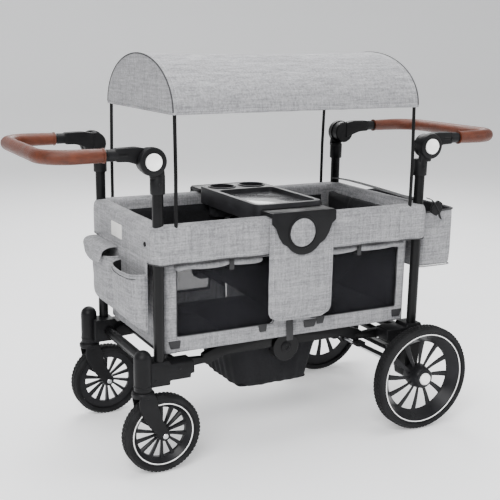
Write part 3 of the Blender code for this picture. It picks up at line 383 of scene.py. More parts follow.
FINISHES = {
    "heather": (grey_cloth, "grey_cloth"),
    "lining": (lambda: plain_cloth("lining", tuple(colours().black_cloth), 0.0018),
               "black_cloth"),
    "window_net": (lambda: plain_cloth("window_net", (0.010, 0.010, 0.012), 0.0012, 0.46),
                   "black_cloth"),
    "webbing": (webbing, "black_cloth"),
    "powder_coat": (powder_coat, "frame_metal"),
    "moulding": (lambda: moulded("moulding", tuple(colours().plastic)), "moulded_plastic"),
    "rim_plastic": (lambda: moulded("rim_plastic", (0.010, 0.010, 0.011), 0.30, 0.00006),
                    "moulded_plastic"),
    "tray_plastic": (lambda: moulded("tray_plastic", (0.020, 0.020, 0.022), 0.36, 0.0001),
                     "moulded_plastic"),
    # The grey of this glossy plastic is a painted reflection of the light.
    "tray_painted_reflection": (lambda: moulded("tray_painted_reflection", (0.12, 0.12, 0.125), 0.22, 0.00004, 0.5),
                   "moulded_plastic"),
    "white_plastic": (lambda: moulded("white_plastic", tuple(colours().white), 0.26, 0.00003,
                                      0.3), "white_trim"),
    "bright_steel": (bright_steel, "axle_steel"),
    "tread_rubber": (tyre_rubber, "tyre_rubber"),
    "leatherette": (leatherette, "grip_leather"),
    "grey_thread": (lambda: thread("grey_thread", (0.50, 0.50, 0.52)), "grey_cloth"),
    "black_thread": (lambda: thread("black_thread", (0.03, 0.03, 0.032)), "black_cloth"),
    "brown_thread": (lambda: thread("brown_thread", (0.12, 0.035, 0.018)), "grip_leather"),
    "blank_label": (lambda: thread("blank_label", (0.80, 0.79, 0.76)), "white_trim"),
}


def finish(name):
    return bpy.data.materials.get(name) or FINISHES[name][0]()


# ------------------------------------------------------------- shapes
def evenly(low, high, count):
    """Values from low to high in that many equal steps."""
    return [low + (high - low) * n / count for n in range(count + 1)]


def rounded(outline, radius, steps=4):
    """A closed outline with its corners turned to arcs of about that radius."""
    count = len(outline)
    found = []
    for n in range(count):
        corner = Vector(outline[n])
        before = Vector(outline[n - 1]) - corner
        after = Vector(outline[(n + 1) % count]) - corner
        reach = min(radius, before.length * 0.48, after.length * 0.48)
        a, b = corner + before.normalized() * reach, corner + after.normalized() * reach
        for t in evenly(0, 1, steps):
            found.append(tuple(a * (1 - t) ** 2 + corner * 2 * t * (1 - t) + b * t ** 2))
    return found


def arc(centre, radius, start, end, steps):
    """Points of an arc, angles in degrees."""
    return [(centre[0] + radius * cos(radians(t)), centre[1] + radius * sin(radians(t)))
            for t in evenly(start, end, steps)]


def bent_path(corners, radius, steps=8):
    """A line through the corners with each inner corner turned to an arc."""
    points = [Vector(corners[0])]
    for before, corner, after in zip(corners, corners[1:], corners[2:]):
        corner = Vector(corner)
        a, b = (Vector(before) - corner).normalized(), (Vector(after) - corner).normalized()
        half = a.angle(b) / 2
        middle = corner + (a + b).normalized() * radius / sin(half)
        start = corner + a * radius / tan(half) - middle
        end = corner + b * radius / tan(half) - middle
        turn = pi - 2 * half
        for share in evenly(0, 1, steps):
            points.append(middle + (start * sin((1 - share) * turn)
                                    + end * sin(share * turn)) / sin(turn))
    points.append(Vector(corners[-1]))
    return points


def smooth_path(points, steps=6):
    """A Catmull-Rom curve through the points."""
    points = [Vector(p) for p in points]
    padded = [points[0] * 2 - points[1], *points, points[-1] * 2 - points[-2]]
    found = []
    for a, b, c, d in zip(padded, padded[1:], padded[2:], padded[3:]):
        for t in evenly(0, 1, steps)[:-1]:
            found.append(0.5 * (2 * b + (c - a) * t + (2 * a - 5 * b + 4 * c - d) * t * t
                                + (3 * b - a - 3 * c + d) * t ** 3))
    found.append(points[-1])
    return found


def ripple(point, size, height, seed=0.0):
    """Soft random height at a point, the same in each run."""
    return noise.noise(Vector(point) / size + Vector((seed, seed * 1.7, seed * 0.3))) * height


class Shape:
    """Closed parts gathered in one mesh, each with its faces pointing out."""

    def __init__(self):
        self.bm = bmesh.new()

    def turned_out(self, faces):
        bmesh.ops.recalc_face_normals(self.bm, faces=faces)
        return self

    def loft(self, rings):
        """Skin over closed rows of points, with both ends capped."""
        rows = [[self.bm.verts.new(p) for p in ring] for ring in rings]
        faces = []
        for a, b in zip(rows, rows[1:]):
            for n in range(len(a)):
                m = (n + 1) % len(a)
                faces.append(self.bm.faces.new((a[n], a[m], b[m], b[n])))
        faces += [self.bm.faces.new(rows[0]), self.bm.faces.new(rows[-1])]
        return self.turned_out(faces)

    def lathe(self, profile, centre, axis="Y", steps=48, way=1):
        """Turns (radius, along) points round an axis; a profile that starts and ends
        on the axis gives a solid, any other a ring.  With way -1 it runs backwards."""
        u, v, w = {"X": ((0, 1, 0), (0, 0, 1), (1, 0, 0)), "Y": ((0, 0, 1), (1, 0, 0), (0, 1, 0)),
                   "Z": ((1, 0, 0), (0, 1, 0), (0, 0, 1))}[axis]
        u, v, w = Vector(u), Vector(v), Vector(w)
        rows = []
        for radius, along in profile:
            mid = Vector(centre) + w * along * way
            if radius < 1e-6:
                rows.append([self.bm.verts.new(mid)])
                continue
            rows.append([self.bm.verts.new(mid + u * radius * cos(2 * pi * n / steps)
                                           + v * radius * sin(2 * pi * n / steps))
                         for n in range(steps)])
        solid = profile[0][0] < 1e-6 and profile[-1][0] < 1e-6
        faces = []
        for m in range(len(rows) - 1 if solid else len(rows)):
            a, b = rows[m], rows[(m + 1) % len(rows)]
            for n in range(steps):
                corners = [a[n % len(a)], a[(n + 1) % steps % len(a)],
                           b[(n + 1) % steps % len(b)], b[n % len(b)]]
                corners = list(dict.fromkeys(corners))
                if len(corners) > 2:
                    faces.append(self.bm.faces.new(corners))
        return self.turned_out(faces)

    def tube(self, points, radius, sides=24, flat=1.0):
        """Sweeps a round (or flattened) section along a line; radius may be a list."""
        points = [Vector(p) for p in points]
        radii = radius if isinstance(radius, list) else [radius] * len(points)
        ahead = (points[1] - points[0]).normalized()
        across = ahead.orthogonal().normalized()
        if abs(ahead.z) < 0.9:
            across = ahead.cross(Vector((0, 0, 1))).normalized()
        rings = []
        for n, point in enumerate(points):
            a = points[max(n - 1, 0)]
            b = points[min(n + 1, len(points) - 1)]
            tangent = (b - a).normalized()
            across = (across - tangent * across.dot(tangent)).normalized()
            up = tangent.cross(across)
            rings.append([point + across * radii[n] * cos(2 * pi * k / sides)
                          + up * radii[n] * flat * sin(2 * pi * k / sides)
                          for k in range(sides)])
        return self.loft(rings)

    def slab(self, outline, axis, low, high, bevel=0.0, segments=2):
        """Extrudes a closed outline along an axis and rounds its edges."""
        order = {"X": (2, 0, 1), "Y": (0, 2, 1), "Z": (0, 1, 2)}[axis]

        def at(p, along):
            values = (p[0], p[1], along)
            return [values[n] for n in order]

        a = [self.bm.verts.new(at(p, min(low, high))) for p in outline]
        b = [self.bm.verts.new(at(p, max(low, high))) for p in outline]
        faces = [self.bm.faces.new(a), self.bm.faces.new(b)]
        for n in range(len(a)):
            m = (n + 1) % len(a)
            faces.append(self.bm.faces.new((a[n], a[m], b[m], b[n])))
        self.turned_out(faces)
        if bevel:
            rim = [e for f in faces[:2] for e in f.edges]
            bmesh.ops.bevel(self.bm, geom=rim, offset=bevel, segments=segments,
                            affect="EDGES", clamp_overlap=True, profile=0.5)
        return self

    def block(self, a, b, bevel=0.001):
        """Block with rounded edges between two opposite corners."""
        low, high = zip(*(sorted(pair) for pair in zip(a, b)))
        outline = rounded([(low[0], low[1]), (high[0], low[1]), (high[0], high[1]),
                           (low[0], high[1])], bevel * 2, 3)
        return self.slab(outline, "Z", low[2], high[2], bevel)

    def mesh(self, name):
        mesh = bpy.data.meshes.new(name)
        self.bm.to_mesh(mesh)
        self.bm.free()
        return smoothed(mesh, 38)


def smoothed(mesh, crease):
    """Smooth shading, broken at edges sharper than the crease angle in degrees."""
    mesh.shade_smooth()
    mesh.set_sharp_from_angle(angle=radians(crease))
    return mesh


def linked(name, data):
    obj = bpy.data.objects.new(name, data)
    bpy.context.scene.collection.objects.link(obj)
    return obj


def evaluated(obj):
    """Plain mesh of an object with its modifiers applied."""
    graph = bpy.context.evaluated_depsgraph_get()
    return bpy.data.meshes.new_from_object(obj.evaluated_get(graph))


def piece(name, mesh, look, body=None, stands_for=(), lining=None):
    """Links a mesh as a finished piece of the wagon."""
    if isinstance(mesh, Shape):
        mesh = mesh.mesh(name)
    obj = linked(name, mesh)
    if not mesh.materials:
        mesh.materials.append(finish(look))
        if lining:
            mesh.materials.append(finish(lining))
    if body:
        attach(obj, body)
    if stands_for:
        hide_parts(*stands_for)
    return obj


def cloth_sheet(name, rows, look, thickness, body=None, stands_for=(), lining=None,
                levels=1, holes=None, offset=0.0, loop=False, turned=False):
    """A sewn sheet over rows of points, given its thickness and smoothed."""
    bm = bmesh.new()
    if turned:
        rows = [list(reversed(row)) for row in rows]
    grid = [[bm.verts.new(p) for p in row] for row in rows]
    across = len(rows[0]) if loop else len(rows[0]) - 1
    for i in range(len(rows) - 1):
        for j in range(across):
            if holes and holes(i, j):
                continue
            m = (j + 1) % len(rows[0])
            bm.faces.new((grid[i][j], grid[i][m], grid[i + 1][m], grid[i + 1][j]))
    loose = [v for v in bm.verts if not v.link_faces]
    bmesh.ops.delete(bm, geom=loose, context="VERTS")
    mesh = bpy.data.meshes.new(name)
    bm.to_mesh(mesh)
    bm.free()
    mesh.shade_smooth()
    obj = piece(name, mesh, look, body, stands_for, lining)
    if levels:
        smooth = obj.modifiers.new("smooth", "SUBSURF")
        smooth.levels = smooth.render_levels = levels
        smooth.boundary_smooth = "PRESERVE_CORNERS"
    wall = obj.modifiers.new("thickness", "SOLIDIFY")
    wall.thickness = thickness
    wall.offset = offset
    if lining:
        wall.material_offset = 1
    return obj


# ------------------------------------------------------------- repeated things
def node_group(name, inputs):
    """A Geometry Nodes tree with a mesh in and out and the named inputs."""
    tree = bpy.data.node_groups.new(name, "GeometryNodeTree")
    tree.interface.new_socket("Geometry", in_out="OUTPUT", socket_type="NodeSocketGeometry")
    tree.interface.new_socket("Geometry", in_out="INPUT", socket_type="NodeSocketGeometry")
    for label, kind in inputs.items():
        tree.interface.new_socket(label, in_out="INPUT", socket_type="NodeSocket" + kind)
    start, end = tree.nodes.new("NodeGroupInput"), tree.nodes.new("NodeGroupOutput")
    return tree, start, end


def wired(tree, kind, inputs, **settings):
    """A node of a Geometry Nodes tree, with its inputs linked or set."""
    made = tree.nodes.new(kind)
    for key, value in settings.items():
        setattr(made, key, value)
    for key, value in inputs.items():
        if isinstance(value, bpy.types.NodeSocket):
            tree.links.new(value, made.inputs[key])
        else:
            made.inputs[key].default_value = value
    return made


def laid(tree, end, points, copy, turn, look):
    """Ends a tree: real copies of a mesh at its points, turned, in one material."""
    copies = wired(tree, "GeometryNodeInstanceOnPoints", {
        "Points": points.outputs[0], "Instance": copy, "Rotation": turn.outputs[0]})
    real = wired(tree, "GeometryNodeRealizeInstances", {"Geometry": copies.outputs[0]})
    done = wired(tree, "GeometryNodeSetMaterial", {"Geometry": real.outputs[0],
                                                   "Material": look})
    tree.links.new(done.outputs[0], end.inputs[0])
    return tree


def stitch_tree():
    """Small threads set end to end along a mesh's edges."""
    found = bpy.data.node_groups.get("Stitches")
    if found:
        return found
    tree, start, end = node_group("Stitches", {"Pitch": "Float", "Length": "Float",
                                               "Radius": "Float", "Thread": "Material"})
    line = wired(tree, "GeometryNodeMeshToCurve", {"Mesh": start.outputs["Geometry"]})
    spaced = wired(tree, "GeometryNodeResampleCurve", {
        "Curve": line.outputs[0], "Length": start.outputs["Pitch"]}, mode="LENGTH")
    one = wired(tree, "GeometryNodeMeshCylinder", {
        "Vertices": 5, "Radius": start.outputs["Radius"], "Depth": start.outputs["Length"]})
    along = wired(tree, "GeometryNodeInputTangent", {})
    turn = wired(tree, "FunctionNodeAlignRotationToVector", {"Vector": along.outputs[0]},
                 axis="Z")
    return laid(tree, end, spaced, one.outputs["Mesh"], turn, start.outputs["Thread"])


def ring_tree():
    """Copies of a mesh turned about the Y axis through its own origin."""
    found = bpy.data.node_groups.get("Ring of copies")
    if found:
        return found
    tree, start, end = node_group("Ring of copies", {"Count": "Int", "Step": "Float",
                                                     "Finish": "Material"})
    spots = wired(tree, "GeometryNodePoints", {"Count": start.outputs["Count"]})
    number = wired(tree, "GeometryNodeInputIndex", {})
    angle = wired(tree, "ShaderNodeMath", {0: number.outputs[0], 1: start.outputs["Step"]},
                  operation="MULTIPLY")
    euler = wired(tree, "ShaderNodeCombineXYZ", {"Y": angle.outputs[0]})
    turn = wired(tree, "FunctionNodeEulerToRotation", {"Euler": euler.outputs[0]})
    return laid(tree, end, spots, start.outputs["Geometry"], turn, start.outputs["Finish"])


def grown(name, seed_mesh, tree, inputs):
    """Plain mesh that a tree makes from a seed mesh."""
    seed = linked(name, seed_mesh)
    modifier = seed.modifiers.new("grow", "NODES")
    modifier.node_group = tree
    for item in tree.interface.items_tree:
        if item.in_out == "INPUT" and item.name in inputs:
            modifier[item.identifier] = inputs[item.name]
    mesh = evaluated(seed)
    bpy.data.objects.remove(seed)
    mesh.name = name
    return mesh


def stitches(name, lines, body, look="grey_thread", radius=0.00055):
    """Rows of stitches along open lines."""
    seed = bpy.data.meshes.new(name + "_lines")
    points, edges = [], []
    for line in lines:
        first = len(points)
        points += [tuple(p) for p in line]
        edges += [(first + n, first + n + 1) for n in range(len(line) - 1)]
    seed.from_pydata(points, edges, [])
    mesh = grown(name, seed, stitch_tree(), {
        "Pitch": sizes().stitch_pitch, "Length": sizes().stitch_length, "Radius": radius,
        "Thread": finish(look)})
    mesh.shade_smooth()
    return piece(name, mesh, look, body)


def ring_of(name, shape, centre, count, look):
    """Mesh of count copies of a shape round the Y axis through centre; the shape is made
    round the origin."""
    seed = shape.mesh(name + "_one")
    mesh = grown(name, seed, ring_tree(), {"Count": count, "Step": 2 * pi / count,
                                           "Finish": finish(look)})
    mesh.transform(Matrix.Translation(Vector(centre)))
    return smoothed(mesh, 35)


def fold_with_end(obj, end_name):
    """Attaches cloth to the body of its end of the wagon and gives it a mesh of its own."""
    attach(obj, END_BODY[end_name])
    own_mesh(obj)


def flattened(obj):
    """Gives cloth on a floor frame a mesh of its own."""
    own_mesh(obj)


class WagonOperator:
    """Shared settings of the wagon's operators."""
    bl_options = {"REGISTER"}


# ------------------------------------------------------------- stage
class WAGON_OT_stage(WagonOperator, bpy.types.Operator):
    """Pale floor, soft light and the camera"""
    bl_idname = "wagon.stage"
    bl_label = "Stage"

    def execute(self, context):
        mesh = bpy.data.meshes.new("floor")
        reach = 14.0
        rows = [(-reach, 0.0), (6.0, 0.0), (8.0, 0.35), (9.2, 1.5), (9.6, 9.0)]
        points = [(x, y, z) for y, z in rows for x in (-reach, reach)]
        quads = [(2 * n, 2 * n + 1, 2 * n + 3, 2 * n + 2) for n in range(len(rows) - 1)]
        mesh.from_pydata(points, [], quads)
        mesh.shade_smooth()
        floor = linked("floor", mesh)
        floor.location.z = -0.0005
        paper = Finish("backdrop_paper")
        fibres = paper.noise(3, detail=3)
        mesh.materials.append(paper.surface(
            Base_Color=paper.mix(fibres, (0.86, 0.86, 0.87), (0.90, 0.90, 0.905)), Roughness=0.9,
            Emission_Color=(1.0, 1.0, 1.0), Emission_Strength=0.30))
        world = bpy.data.worlds.new("soft_sky")
        world.use_nodes = True
        sky = world.node_tree.nodes["Background"]
        sky.inputs[0].default_value = (0.96, 0.98, 1.0, 1)
        sky.inputs[1].default_value = 0.50
        context.scene.world = world
        for name, spot, size, power in (
                ("key", (-2.4, -2.8, 3.4), 2.6, 230), ("fill", (3.4, -2.6, 2.2), 2.6, 50),
                ("top", (0.2, 0.4, 3.9), 3.0, 190), ("rim", (1.6, 3.2, 2.8), 2.4, 90)):
            lamp = bpy.data.lights.new(name, "AREA")
            lamp.shape = "DISK"
            lamp.size = size
            lamp.energy = power
            obj = linked(name, lamp)
            obj.location = spot
            obj.rotation_euler = (Vector((0, 0, 0.5)) - Vector(spot)).to_track_quat(
                "-Z", "Y").to_euler()
        camera = bpy.data.cameras.new("camera")
        camera.lens = 66.27
        camera.sensor_width = 36.0
        camera.shift_x = 0.0827
        camera.shift_y = 0.0329
        eye = linked("camera", camera)
        eye.location = (-1.2762, -2.3424, 1.1362)
        ahead = Vector((0.4176, 0.8761, -0.2409))
        roll = Matrix.Rotation(radians(0.257), 4, "Z")
        eye.rotation_euler = (ahead.to_track_quat("-Z", "Y").to_matrix().to_4x4()
                              @ roll).to_euler()
        context.scene.camera = eye
        return {"FINISHED"}


# ------------------------------------------------------------- frame
def rivet(shape, x, y, z, side, radius=0.005):
    """Domed rivet head on a face that looks along Y."""
    shape.lathe([(0, -0.002), (radius, -0.002), (radius, 0.0006), (radius * 0.75, 0.0016),
                 (0, 0.0021)], (x, y, z), "Y", 20, side)


class WAGON_OT_end_frames(WagonOperator, bpy.types.Operator):
    """Bent tubes of the two ends with their pivot lugs"""
    bl_idname = "wagon.end_frames"
    bl_label = "End frames"

    def execute(self, context):
        for end_name, end in ENDS.items():
            x = end * POST_X
            shape = Shape()
            shape.tube(bent_path([(x, -POST_Y, POST_TOP), (x, -POST_Y, CROSS_Z),
                                  (x, POST_Y, CROSS_Z), (x, POST_Y, POST_TOP)], 0.032),
                       POST_R, 32)
            for side in SIDES.values():
                outer = POST_Y + POST_R
                lug = [(end * POST_X, TOP_PIVOT_Z - 0.011), (end * PIVOT_X, TOP_PIVOT_Z - 0.011),
                       *[(end * a, b) for a, b in arc((PIVOT_X, TOP_PIVOT_Z), 0.011, 260, 100, 10)],
                       (end * PIVOT_X, TOP_PIVOT_Z + 0.011), (end * POST_X, TOP_PIVOT_Z + 0.011)]
                shape.slab(lug, "Y", side * (outer - 0.0036), side * outer, 0.0006)
            piece(f"{end_name}_frame_tube", shape, "powder_coat", END_BODY[end_name],
                  [f"{end_name}_frame"])
        return {"FINISHED"}


def bracket_steps(end):
    """Lower edge of a bracket in three steps, from the middle of the wagon outwards."""
    return [(end * 0.312, 0.303), (end * 0.312, 0.269), (end * 0.322, 0.269),
            (end * 0.322, 0.257), (end * 0.362, 0.257)]


class WAGON_OT_brackets(WagonOperator, bpy.types.Operator):
    """Moulded lower brackets, swivel housings, struts and the rear axle"""
    bl_idname = "wagon.brackets"
    bl_label = "Brackets"

    def execute(self, context):
        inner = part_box("caster_bracket_right")[0].y
        outer = inner + 0.0583
        for side_name, side in SIDES.items():
            outline = bracket_steps(-1) + [
                (-0.382, 0.257), (-0.382, 0.245), (-0.450, 0.245), (-0.450, BRACKET_TOP),
                (-0.386, BRACKET_TOP), (-0.380, 0.303)]
            front = Shape()
            front.slab(rounded(outline, 0.003, 3), "Y", side * inner, side * outer, 0.0025, 3)
            centre = (SWIVEL.x, side * SWIVEL.y, 0)
            low, radius = SWIVEL.z, 0.024
            dome = [(0, low), (radius - 0.001, low), (radius, low + 0.001), (radius, low + 0.012),
                    (radius + 0.0012, low + 0.013), (radius + 0.0012, low + 0.016),
                    (radius, low + 0.017)]
            front.lathe(dome + arc((0, 0.324), radius, 0, 90, 10)[:-1] + [(0, 0.324 + radius)],
                        centre, "Z", 48)
            rivet(front, -0.356, side * outer, 0.289, side)
            rivet(front, -PIVOT_X - 0.050, side * outer, 0.262, side, 0.004)
            piece(f"caster_bracket_shell_{side_name}", front, "moulding", "front_end",
                  [f"caster_bracket_{side_name}"])
            leg = arc((REAR_AXLE.x, REAR_AXLE.z), 0.022, 205, 335, 14)
            outline = bracket_steps(1) + [
                (0.378, 0.235), *leg, (0.4345, 0.245), (0.4345, BRACKET_TOP),
                (0.386, BRACKET_TOP), (0.380, 0.303)]
            rear = Shape()
            rear.slab(rounded(outline, 0.003, 3), "Y", side * inner, side * outer, 0.0025, 3)
            strut_y = side * (inner + 0.0081)
            rear.tube([(0.398, strut_y, 0.174), (0.250, strut_y, 0.2545)], 0.006, 20)
            rear.block((0.240, side * 0.161, 0.2475),
                       (0.268, side * 0.192, floor_rail_low() - 0.0004), 0.0015)
            rivet(rear, 0.356, side * outer, 0.289, side)
            rivet(rear, 0.407, side * outer, 0.205, side)
            rear.lathe([(0, 0), (0.0155, 0), (0.0155, 0.0008), (0, 0.0008)],
                       (REAR_AXLE.x, side * outer, REAR_AXLE.z), "Y", 32, side)
            piece(f"rear_bracket_shell_{side_name}", rear, "moulding", "root",
                  [f"rear_bracket_{side_name}"])
        axle = Shape()
        reach = REAR_AXLE.y + 0.0197
        axle.lathe([(0, -reach), (0.0052, -reach), (0.006, -reach + 0.001), (0.006, reach - 0.001),
                    (0.0052, reach), (0, reach)], (REAR_AXLE.x, 0, REAR_AXLE.z), "Y", 32)
        piece("axle_rod", axle, "bright_steel", "root", ["rear_axle"])
        return {"FINISHED"}


# ------------------------------------------------------------- fold linkage
def floor_rail_low():
    return FLOOR_PIVOT_Z - 0.0165


def rail_side(end, inner_x):
    """Side view of half a floor rail, rounded at its pivot and stepped up to the hub."""
    low = floor_rail_low()
    rise, high = low + 0.0235, low + 0.0545
    outer = arc((PIVOT_X, FLOOR_PIVOT_Z), 0.0165, -90, 90, 14)
    inner = rounded([(0.262, low + 0.033), (0.202, high), (inner_x, high), (inner_x, rise),
                     (0.190, rise), (0.250, low)], 0.008, 4)
    return [(end * x, z) for x, z in outer + inner]


class WAGON_OT_linkage(WagonOperator, bpy.types.Operator):
    """Floor frames with their hubs, and the top rails"""
    bl_idname = "wagon.linkage"
    bl_label = "Fold linkage"

    def execute(self, context):
        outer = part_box("caster_bracket_right")[0].y - 0.0004
        inner, mid = outer - 0.018, outer - 0.009
        proud, gap = 0.004, 0.0004
        for end_name, end in ENDS.items():
            lap = (mid + gap / 2, outer) if end > 0 else (inner, mid - gap / 2)
            disc = (lap[0], outer + proud) if end > 0 else (inner - proud, lap[1])
            full = (inner, mid + 0.004) if end > 0 else (mid - 0.004, outer)
            shape = Shape()
            for side in SIDES.values():
                shape.slab(rail_side(end, 0.045), "Y", side * full[0], side * full[1], 0.0015)
                shape.slab(rail_side(end, 0.018), "Y", side * lap[0], side * lap[1], 0.0006)
                low, high = sorted((side * disc[0], side * disc[1]))
                shape.lathe([(0.0086, low), (0.040, low), (0.041, low + 0.001),
                             (0.041, high - 0.001), (0.040, high), (0.0086, high)], HUB, "Y", 56)
                shape.lathe([(0, outer - 0.006), (0.006, outer - 0.006), (0.006, outer + 0.013),
                             (0, outer + 0.013)], (end * PIVOT_X, 0, FLOOR_PIVOT_Z), "Y", 24,
                            side)
            for x, z in ((0.208, 0.2995), (0.335, FLOOR_PIVOT_Z)):
                shape.tube([(end * x, -mid + 0.003, z), (end * x, mid - 0.003, z)], 0.010, 24)
            piece(f"{end_name}_floor_rails", shape, "powder_coat", FLOOR_BODY[end_name],
                  [f"{end_name}_floor_frame"])
            for side_name in SIDES:
                node = f"{end_name}_top_rail_{side_name}"
                frame["nodes"][node].data.materials[0] = finish("powder_coat")
        low, high, head = inner - proud - gap, outer + proud + gap, 0.003
        for side_name, side in SIDES.items():
            bolt = Shape().lathe(
                [(0, low - head), (0.012, low - head), (0.014, low - head * 0.5), (0.014, low),
                 (0.008, low), (0.008, high), (0.016, high), (0.016, high + head * 0.5),
                 (0.014, high + head), (0.0065, high + head), (0.0055, high + head * 0.4),
                 (0, high + head * 0.4)], HUB, "Y", 40, side)
            piece(f"floor_hub_bolt_{side_name}", bolt, "moulding", "rear_floor",
                  [f"floor_pivot_{side_name}"])
        return {"FINISHED"}


# ------------------------------------------------------------- wheels
def tyre_profile(radius, rim, half):
    """Section of a tyre from its bead over the tread and back."""
    wall = radius - rim
    right = [(rim + 0.0005, half * 0.80), (rim + wall * 0.12, half * 0.93),
             (rim + wall * 0.35, half * 0.995), (rim + wall * 0.62, half),
             (radius - 0.0055, half * 0.88), (radius - 0.0022, half * 0.66),
             (radius - 0.0016, half * 0.44), (radius - 0.0016, half * 0.20)]
    return [(r, -y) for r, y in right] + [(r, y) for r, y in reversed(right)]


def tread_blocks(radius, half, count):
    """Three blocks side by side, one pitch of the tread."""
    pitch = 2 * pi * radius / count
    wide, size = half * 0.40, pitch * 0.36
    blocks = Shape()
    for row, shift in ((-1, 0.0), (0, 0.5), (1, 0.0)):
        turn = 2 * pi / count * shift
        at = row * half * 0.47
        rings = []
        for r, shrink in ((radius - 0.0045, 1.0), (radius - 0.0007, 0.96),
                          (radius - 0.0002, 0.80)):
            corners = [(-size, -wide / 2), (size * 0.8, -wide / 2 * 0.8), (size, wide / 2),
                       (-size * 0.8, wide / 2 * 0.8)]
            rings.append([(sin(turn + a * shrink / radius) * r, at + b * shrink,
                           cos(turn + a * shrink / radius) * r) for a, b in corners])
        blocks.loft(rings)
    return blocks


def spoke(side, start, end, face, deep, bold):
    """One spoke from the hub to the rim; a bold one is wider and leans."""
    rows = []
    for share in evenly(0, 1, 6):
        r = start + (end - start) * share
        half_wide = (0.0040 + 0.0052 * share) * (1.0 if bold else 0.62)
        near = face - side * 0.001 + side * 0.004 * (1 - share)
        far = near - side * deep * (0.85 + 0.15 * share)
        lean = 0.10 * share if bold else 0.0
        section = [(-half_wide, far), (half_wide * 0.7, far), (half_wide, near - side * 0.002),
                   (half_wide * 0.6, near), (-half_wide * 0.6, near),
                   (-half_wide, near - side * 0.002)]
        rows.append([(sin(lean + a / r) * r, b, cos(lean + a / r) * r) for a, b in section])
    return Shape().loft(rows)


def wheel(name, centre, side, radius, rim, half, body, tyre_node, rim_node, spokes, dish, hub,
          ring, blocks):
    """Tyre, spoked rim and white ring; dish is how deep the rim's cone goes in, and hub
    its bore, radius and two ends."""
    tyre = Shape().lathe(tyre_profile(radius, rim, half), centre, "Y", 96)
    piece(f"{name}_tyre", tyre, "tread_rubber", body, [tyre_node])
    tread = ring_of(f"{name}_tread", tread_blocks(radius, half, blocks), centre, blocks,
                    "tread_rubber")
    piece(f"{name}_tread", tread, "tread_rubber", body)
    bold = dish > 0.02
    out = side * half * 0.80
    face = side * (half * 0.80 - dish)
    back = -side * half * 0.55
    cone = rim - (0.030 if bold else 0.016)
    bore, barrel, low, high = hub
    shell = Shape()
    shell.lathe([(rim, back), (rim, out), (rim - 0.006, out), (cone, face),
                 (cone - 0.004, face - side * 0.004), (cone - 0.004, back), (rim - 0.006, back)],
                centre, "Y", 96)
    shell.lathe([(bore, low), (barrel, low), (barrel * 1.25, face - side * 0.006),
                 (barrel, high - side * 0.002), (barrel - 0.002, high), (bore, high)],
                centre, "Y", 48)
    piece(f"{name}_rim", shell, "rim_plastic", body, [rim_node])
    one = spoke(side, barrel * 0.9, cone + 0.001, face, abs(face - back) * 0.80, bold)
    spoke_mesh = ring_of(f"{name}_spokes", one, centre, spokes, "rim_plastic")
    piece(f"{name}_spokes", spoke_mesh, "rim_plastic", body)
    bead = [(ring + 0.0014 * cos(t), out + side * 0.0002 + 0.0012 * sin(t))
            for t in evenly(0, 2 * pi, 10)[:-1]]
    piece(f"{name}_white_ring", Shape().lathe(bead, centre, "Y", 120), "white_plastic", body)


class WAGON_OT_rear_wheels(WagonOperator, bpy.types.Operator):
    """Rear wheels: tyres with tread, deep spoked rims, white rings and hub caps"""
    bl_idname = "wagon.rear_wheels"
    bl_label = "Rear wheels"

    def execute(self, context):
        radius, rim, half = REAR_AXLE.z, 0.140, 0.022
        for side_name, side in SIDES.items():
            centre = Vector((REAR_AXLE.x, side * REAR_AXLE.y, REAR_AXLE.z))
            body = f"{side_name}_rear_wheel"
            low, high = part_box(f"rear_rim_{side_name}")
            span = sorted((abs(low.y), abs(high.y)))
            hub = (0.0065, 0.030, side * (span[0] - REAR_AXLE.y), side * (span[1] - REAR_AXLE.y))
            wheel(f"rear_wheel_{side_name}", centre, side, radius, rim, half, body,
                  f"rear_tyre_{side_name}", f"rear_rim_{side_name}", 12, 0.026, hub, 0.1345,
                  sizes().tread_blocks)
            face = span[1] - REAR_AXLE.y
            start = face + 0.0004
            cap = Shape().lathe([(0, start), (0.018, start), (0.0182, start + 0.003),
                                 (0.0172, start + 0.0065), (0.0145, start + 0.0092),
                                 (0.010, start + 0.0104), (0, start + 0.011)],
                                centre, "Y", 48, side)
            piece(f"hub_cap_{side_name}", cap, "white_plastic", body,
                  [f"rear_hub_cap_{side_name}"])
            collar = Shape().lathe([(0.0195, face - 0.003), (0.027, face - 0.003),
                                    (0.0265, face + 0.002), (0.0195, face + 0.0035)],
                                   centre, "Y", 48, side)
            piece(f"hub_collar_{side_name}", collar, "rim_plastic", body)
        return {"FINISHED"}


